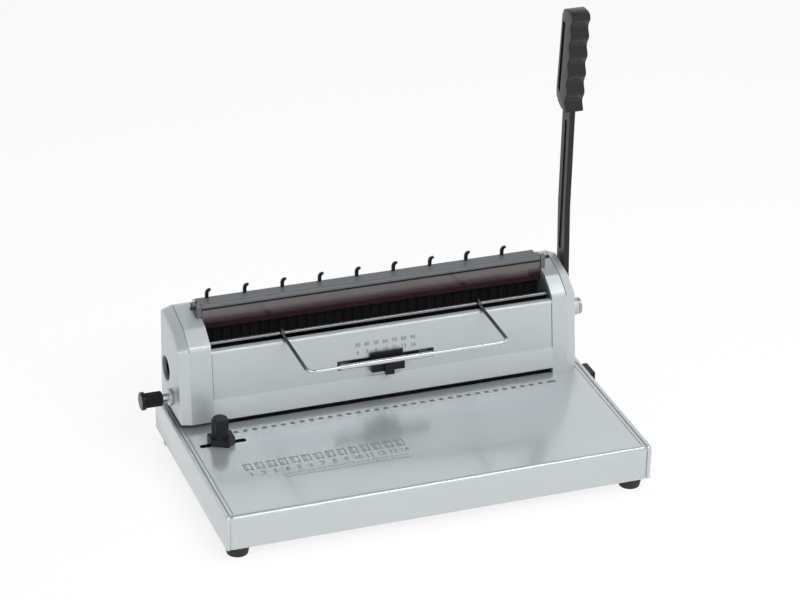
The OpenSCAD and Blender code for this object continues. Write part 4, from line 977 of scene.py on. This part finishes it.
def grip_piece(sizes):
    """The grip, with a shallow recess in its inner side and the seats of its two screws."""
    x0, x1 = GRIP_LOW.x, GRIP_HIGH.x
    grip = prism("lever_handle", grip_outline(sizes), x0, x1, (x0, x1), sizes.grip_edge, 5)
    rear, low, high = GRIP_HIGH.y, GRIP_LOW.z, GRIP_HIGH.z
    recess_depth = 1.2 * MM
    recess = [(rear - 9 * MM, low + 13 * MM), (rear - 4.5 * MM, low + 17 * MM)]
    recess += [(rear - 8.5 * MM, high - 13 * MM), (rear - 14 * MM, high - 13 * MM)]
    tools = [prism("recess", recess, x0 - OVER, x0 + recess_depth)]
    seat_radius, seat_depth, head_radius = 3.2 * MM, 2.2 * MM, 3 * MM
    low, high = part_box("grip_screws")
    y = (low.y + high.y) / 2
    for z in (low.z + head_radius, high.z - head_radius):
        tools.append(drum("screw_seat", high.x - seat_depth, x1 + OVER, seat_radius, (y, z), 40))
    boolean(grip, "DIFFERENCE", *tools)
    stand_for(smooth(grip, 34), "lever_grip", "grip_plastic")


# Controls


def selector_slider(sizes):
    """The selector's slider, with its neck cut down to the height of the frame."""
    low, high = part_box("selector_knob")
    front_play = 0.6 * MM
    far = (high.x + OVER, BEZEL_LOW.y - front_play, high.z + OVER)
    top = block("top", (low.x - OVER, low.y - OVER, BEZEL_HIGH.z), far)
    slider = boolean(copy_of("selector_knob", "selector_slider"), "DIFFERENCE", top)
    stand_for(soften(slider, sizes.moulded_edge, 3), "selector_knob")


def diamond(turn, along):
    """Height, 0 to 1, of a diamond knurl at places that are counted in diamonds round and along a knob."""
    waves = [1 - abs(2 * (v - math.floor(v)) - 1) for v in (turn + along, turn - along)]
    return min(1, 1.5 * min(waves))


def knurled_dial(sizes):
    """The margin knob: a plain flange and a body with a diamond knurl."""
    low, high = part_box("margin_knob")
    y, z = (low.y + high.y) / 2, (low.z + high.z) / 2
    flange, flange_width, flange_step = (high.z - low.z) / 2, 4 * MM, 1.4 * MM
    root = flange - flange_step - sizes.knurl_depth
    neck = low.x + flange_width
    facets = 6
    turns = [i / facets for i in range(facets * sizes.knurl_count)]

    def ring(x, radius_at):
        angles = [(2 * math.pi * t / sizes.knurl_count, radius_at(t)) for t in turns]
        return x, [(y + r * math.cos(a), z + r * math.sin(a)) for a, r in angles]

    def plain(x, radius):
        return ring(x, lambda turn: radius)

    stations = [plain(low.x + x * MM, flange - r * MM) for x, r in ((0, 0.9), (0.3, 0.3), (0.9, 0))]
    stations += [plain(neck - x * MM, flange - r * MM) for x, r in ((0.6, 0), (0.1, 0.5))]
    stations += [plain(neck, root), plain(neck + 0.5 * MM, root)]
    first, last = neck + 0.7 * MM, high.x - 0.8 * MM
    rows = round((last - first) / sizes.knurl_pitch * facets)
    for i in range(rows + 1):
        along = i / facets
        x = first + (last - first) * i / rows
        stations.append(ring(x, lambda turn: root + sizes.knurl_depth * diamond(turn, along)))
    stations += [plain(high.x - 0.5 * MM, root), plain(high.x, root - 0.4 * MM)]
    stand_for(smooth(from_bmesh("margin_dial", loft_shape(stations)), 25), "margin_knob")


def edge_stop_knob(sizes):
    """The edge guide's knob, drawn in above the block that it clamps."""
    knob = copy_of("guide_knob", "edge_stop_knob")
    low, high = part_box("guide_knob")
    middle = (low + high) / 2
    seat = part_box("edge_guide_block")[1].z
    share = 0.87
    for point in knob.data.vertices:
        if point.co.z > seat:
            point.co.x = middle.x + (point.co.x - middle.x) * share
            point.co.y = middle.y + (point.co.y - middle.y) * share
    stand_for(soften(knob, sizes.tooth_edge, 2, 25), "guide_knob")


# Chip tray


def drawer_pull(sizes):
    """The chip tray's pull: a plate, and a bar that is scooped out below for the fingers."""
    low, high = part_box("tray_pull")
    plate, bar_foot, bar_depth, scoop_radius = 2.5 * MM, 6 * MM, 19 * MM, 5 * MM
    pull = block("chip_drawer_pull", low, (low.x + plate, high.y, high.z))
    bar = block("bar", (low.x, low.y, low.z + bar_foot), (high.x, low.y + bar_depth, high.z))
    axis = (low.y + bar_depth / 2, low.z + scoop_radius)
    scoop = drum("scoop", low.x + plate, high.x - plate, scoop_radius, axis, 40)
    boolean(pull, "UNION", boolean(bar, "DIFFERENCE", scoop))
    stand_for(soften(pull, sizes.pull_edge, 3), "tray_pull")


# Print


def print_marks(sizes):
    """The row of page marks in front of the head, and the wider mark at its right end."""
    y, half = 24 * MM, sizes.mark_width / 2
    middle = (PANEL_LOW.x + PANEL_HIGH.x) / 2 - sizes.mark_shift
    first = middle - (sizes.mark_count - 1) / 2 * sizes.mark_pitch
    last = first + sizes.mark_count * sizes.mark_pitch
    mark = (first - half, y, first + half, y + sizes.mark_depth)
    stamped(sizes, "page_marks", [mark], "ink", sizes.mark_count, sizes.mark_pitch)
    end_mark = (last - half, y, last + 3 * half, y + sizes.mark_depth)
    stamped(sizes, "page_end_mark", [end_mark], "ink")


def print_chart(sizes):
    """The size chart at the left of the base: two dashed rules, numbers and page signs."""
    left, right = -148 * MM, -3 * MM
    rule_inset, dash, thick = 30 * MM, 2.7 * MM, 1.1 * MM
    start = left + rule_inset
    for name, y, pitch in (("front", -58 * MM, 3.6 * MM), ("rear", -53.5 * MM, 4.3 * MM)):
        first = (start, y, start + dash, y + thick)
        stamped(sizes, f"chart_rule_{name}", [first], "faint_ink", int((right - start) / pitch), pitch)
    columns = 14
    step = (right - left) / columns
    number_y, tall = -45.5 * MM, 8.5 * MM
    numbers = [(str(i + 1), (left + step * (i + 0.5), number_y)) for i in range(columns)]
    place = Matrix.Translation((0, 0, BASE_HIGH.z + sizes.ink / 2))
    table = number_piece("chart_numbers", numbers, tall, sizes.ink, place)
    hand_over(table, "faint_ink")
    corner = (left + 1.8 * MM, -38 * MM)
    bars = ((0, 0, 7, 1.2), (0, 9, 7, 10.2), (0, 0, 1, 10), (6, 0, 7, 10), (2, 0, 2.8, 10))
    page = [tuple(corner[k % 2] + v * MM for k, v in enumerate(bar)) for bar in bars]
    stamped(sizes, "chart_pages", page, "faint_ink", columns, step)


def print_scale(sizes):
    """The two rows of numbers above the selector's slot."""
    above, pitch, row_gap, tall, thick = 5.2 * MM, 8.4 * MM, 7 * MM, 5 * MM, 0.06 * MM
    base = BEZEL_HIGH.z + above
    lean = Matrix.Rotation(math.pi / 2 - sizes.face_lean, 4, "X")
    middle = (BEZEL_LOW.x + BEZEL_HIGH.x) / 2
    place = Matrix.Translation((middle, face_at(base, sizes), base)) @ lean
    numbers = []
    for i, text in enumerate(("6", "7", "8", "10", "11", "13", "14")):
        x = (i - 3) * pitch
        numbers += [(text, (x, 0)), (str(10 * i + 30), (x, row_gap))]
    piece = number_piece("selector_numbers", numbers, tall, thick, place)
    hand_over(piece, "faint_ink")


# Stage


def make_floor(tints):
    """A plain pale floor that keeps the shadow and stays white to the camera."""
    shape = bmesh.new()
    bmesh.ops.create_grid(shape, x_segments=1, y_segments=1, size=30)
    floor = from_bmesh("floor", shape)
    s = Shader("studio_floor")
    finish = s.dress(Base_Color=(*tints.floor, 1), Roughness=0.9, Specular_IOR_Level=0.1)
    floor.data.materials.append(finish)
    matt = Value(s, s.surface.outputs[0])
    glow = s.node("ShaderNodeEmission", sockets={"Color": (1, 1, 1, 1)})
    glow_share = 0.86
    mixed = s.node("ShaderNodeMixShader", sockets={0: s.seen_rays() * glow_share, 1: matt, 2: glow})
    s.feed(s.tree.nodes["Material Output"].inputs["Surface"], mixed)


def make_world(scene):
    """A soft white surround that is brighter to look at than it is as a light, and greyer overhead."""
    s = Shader("studio", "worlds", "Background", "Generated")
    overhead = s.rise("Z", 0.62, 0.9, interpolation_type="SMOOTHSTEP")
    seen = s.seen_rays()
    seen_strength, light_strength = 0.95, 0.42
    scene.world = s.dress(
        Color=s.blend(overhead, (0.97, 0.985, 1), (0.26, 0.28, 0.3)),
        Strength=seen * seen_strength + (1 - seen) * light_strength,
    )


def make_lamps():
    """Soft lamps: a high key in front, a fill at the left, a bank overhead and a strip for the edges."""
    aim = Vector((0, 0, 0.08))
    for name, place, width, height, power, mirrored in (
        ("key", (0.3, -1.4, 1.5), 1.2, 0.8, 27, False),
        ("fill", (-1.6, -1.3, 0.9), 1.2, 0.9, 5, True),
        ("overhead", (0.1, 0.35, 1.9), 1.6, 1.0, 9, False),
        ("strip", (0.65, -0.6, 1.85), 1.6, 0.25, 8, True),
    ):
        lamp = bpy.data.lights.new(name, "AREA")
        lamp.shape = "RECTANGLE"
        lamp.size = width
        lamp.size_y = height
        lamp.energy = power
        stand = new_object(name, lamp)
        stand.visible_glossy = mirrored
        stand.location = place
        stand.rotation_mode = "QUATERNION"
        stand.rotation_quaternion = (aim - stand.location).to_track_quat("-Z", "Y")


def make_camera(scene):
    """The photograph's camera: far away, with a long lens and a slight roll."""
    turn, rise, roll = (math.radians(a) for a in (-20.458, 27.577, 1.341))
    target = Vector((15.452, 37.585, 138.442)) * MM
    away = 2560.389 * MM
    lens = bpy.data.cameras.new("camera")
    lens.sensor_width = 36
    lens.lens = 135
    lens.clip_start = 0.1
    lens.clip_end = 100
    stand = new_object("camera", lens)
    level = Matrix.Rotation(turn, 4, "Z") @ Matrix.Rotation(math.pi / 2 - rise, 4, "X")
    turned = level @ Matrix.Rotation(roll, 4, "Z")
    stand.matrix_world = Matrix.Translation(target) @ turned @ Matrix.Translation((0, 0, away))
    scene.camera = stand


# Operators


class BINDER_OT_stage(bpy.types.Operator):
    """Makes the floor, the studio light and the camera."""

    bl_idname = "binder.stage"
    bl_label = "Stage"

    def execute(self, context):
        tints = context.scene.binder_colours
        context.scene.view_settings.view_transform = "Standard"
        make_floor(tints)
        make_world(context.scene)
        make_lamps()
        make_camera(context.scene)
        return {"FINISHED"}


class BINDER_OT_finishes(bpy.types.Operator):
    """Makes every finish and paints the CAD nodes that keep their own shape."""

    bl_idname = "binder.finishes"
    bl_label = "Finishes"

    def execute(self, context):
        make_finishes(context.scene.binder_colours)
        for name, node in NODES.items():
            paint(node, SLOTS[name])
        # The clamp plate below the edge guide's slot is painted dull black as painted shade; the stepped
        # plate and the main shaft are painted dull black as well
        for name in ("guide_clamp_plate", "stepped_plate", "main_shaft"):
            paint(NODES[name], "dull_black")
        return {"FINISHED"}


class BINDER_OT_base(bpy.types.Operator):
    """Makes the base, its end plates, its seams and the painted shade at the bends, its feet and the dull
    black painted shade in its slot.
    """

    bl_idname = "binder.base"
    bl_label = "Base"

    def execute(self, context):
        sizes = context.scene.binder_sizes
        stand_for(smooth(copy_of("base_shell", "base_cover"), 38), "base_shell", "base_enamel")
        end_plates(sizes)
        dressed("rubber_feet", "feet", sizes.foot_edge, 3)
        slot_painted_shade()
        return {"FINISHED"}


class BINDER_OT_head(bpy.types.Operator):
    """Makes the front panel, the end caps, the rear cover and their screws."""

    bl_idname = "binder.head"
    bl_label = "Head"

    def execute(self, context):
        sizes = context.scene.binder_sizes
        recess_radius, shaft_radius = 12 * MM, 6 * MM
        panel_piece(sizes)
        low, high = LEFT_CAP_LOW, LEFT_CAP_HIGH
        cap_piece(sizes, "end_cap_left", "left_end_cap", high.x, low.x, low.z, recess_radius)
        low, high = RIGHT_CAP_LOW, RIGHT_CAP_HIGH
        cap_piece(sizes, "end_cap_right", "right_end_cap", low.x, high.x, low.z, shaft_radius)
        dressed("rear_cover", "rear_cover_sheet", sizes.sheet_edge)
        cap_recess()
        panel_seams(sizes)
        dressed("cap_screws", "cap_screw_heads", sizes.screw_edge)
        dressed("rear_screws", "rear_screw_heads", sizes.fine_edge)
        return {"FINISHED"}


class BINDER_OT_top(bpy.types.Operator):
    """Makes the hook rail, the hooks, the flap, the rod, the bail and the closing channel."""

    bl_idname = "binder.top"
    bl_label = "Top"

    def execute(self, context):
        sizes = context.scene.binder_sizes
        dressed("hook_rail", "hook_rail_sheet", sizes.sheet_edge, 3)
        hook_row(sizes)
        dressed("smoked_flap", "smoked_window", sizes.fine_edge, 2, 40)
        dressed("flap_pin", "flap_hinge_pin", sizes.fine_edge, 2, 40, slot="dark_steel")
        dressed("front_rod", "head_rod", sizes.fine_edge, 2, 40, finish="rod_steel")
        bail_pieces(sizes)
        dressed("closing_bed", "closing_channel", sizes.tooth_edge)
        dressed("closing_jaw", "closing_comb", sizes.tooth_edge)
        for side in ("left", "right"):
            dressed(f"side_plate_{side}", f"side_frame_{side}", sizes.fine_edge, slot="rail_grey")
        hinge_leaf()
        return_coils()
        return {"FINISHED"}


class BINDER_OT_lever(bpy.types.Operator):
    """Makes the lever arm, its hub, its grip and their fasteners."""

    bl_idname = "binder.lever"
    bl_label = "Lever"

    def execute(self, context):
        sizes = context.scene.binder_sizes
        dressed("lever_arm", "lever_bar", sizes.lever_edge, 3)
        dressed("lever_hub", "lever_boss", sizes.lever_edge, 3, slot="silver_paint")
        dressed("hub_bolt", "lever_bolt", sizes.bolt_edge)
        dressed("lever_washer", "lever_spacer", sizes.screw_edge)
        grip_piece(sizes)
        dressed("grip_screws", "grip_screw_heads", sizes.bolt_edge)
        return {"FINISHED"}


class BINDER_OT_controls(bpy.types.Operator):
    """Makes the selector, the margin knob and the edge guide."""

    bl_idname = "binder.controls"
    bl_label = "Controls"

    def execute(self, context):
        sizes = context.scene.binder_sizes
        dressed("selector_bezel", "selector_frame", sizes.tooth_edge)
        selector_slider(sizes)
        knurled_dial(sizes)
        dressed("margin_collar", "margin_bush", sizes.lever_edge, 3, slot="silver_paint")
        dressed("edge_guide_block", "edge_stop", sizes.moulded_edge, 3)
        edge_stop_knob(sizes)
        return {"FINISHED"}


class BINDER_OT_tray(bpy.types.Operator):
    """Makes the chip tray and its pull."""

    bl_idname = "binder.tray"
    bl_label = "Chip tray"

    def execute(self, context):
        sizes = context.scene.binder_sizes
        dressed("chip_tray", "chip_drawer", sizes.fine_edge)
        drawer_pull(sizes)
        return {"FINISHED"}


class BINDER_OT_print(bpy.types.Operator):
    """Prints the marks in front of the head, the size chart and the selector's numbers."""

    bl_idname = "binder.print"
    bl_label = "Print"

    def execute(self, context):
        sizes = context.scene.binder_sizes
        print_marks(sizes)
        print_chart(sizes)
        print_scale(sizes)
        return {"FINISHED"}


class BINDER_PT_panel(bpy.types.Panel):
    """Lists the steps that dress the machine."""

    bl_idname = "BINDER_PT_panel"
    bl_label = "Wire binding machine"
    bl_space_type = "VIEW_3D"
    bl_region_type = "UI"
    bl_category = "Binder"

    def draw(self, context):
        for step in STEPS:
            self.layout.operator(step.bl_idname)


STEPS = (
    BINDER_OT_stage,
    BINDER_OT_finishes,
    BINDER_OT_base,
    BINDER_OT_head,
    BINDER_OT_top,
    BINDER_OT_lever,
    BINDER_OT_controls,
    BINDER_OT_tray,
    BINDER_OT_print,
)
CLASSES = (BinderSizes, BinderColours, *STEPS, BINDER_PT_panel)


def register():
    for item in CLASSES:
        bpy.utils.register_class(item)
    bpy.types.Scene.binder_sizes = PointerProperty(type=BinderSizes)
    bpy.types.Scene.binder_colours = PointerProperty(type=BinderColours)


def unregister():
    del bpy.types.Scene.binder_colours
    del bpy.types.Scene.binder_sizes
    for item in reversed(CLASSES):
        bpy.utils.unregister_class(item)


def main():
    register()
    for name in [o.name for o in bpy.data.objects if o.name in ("Cube", "Light", "Camera")]:
        bpy.data.objects.remove(bpy.data.objects[name])
    for step in STEPS:
        group, operator = step.bl_idname.split(".")
        getattr(getattr(bpy.ops, group), operator)()


if __name__ == "__main__":
    main()
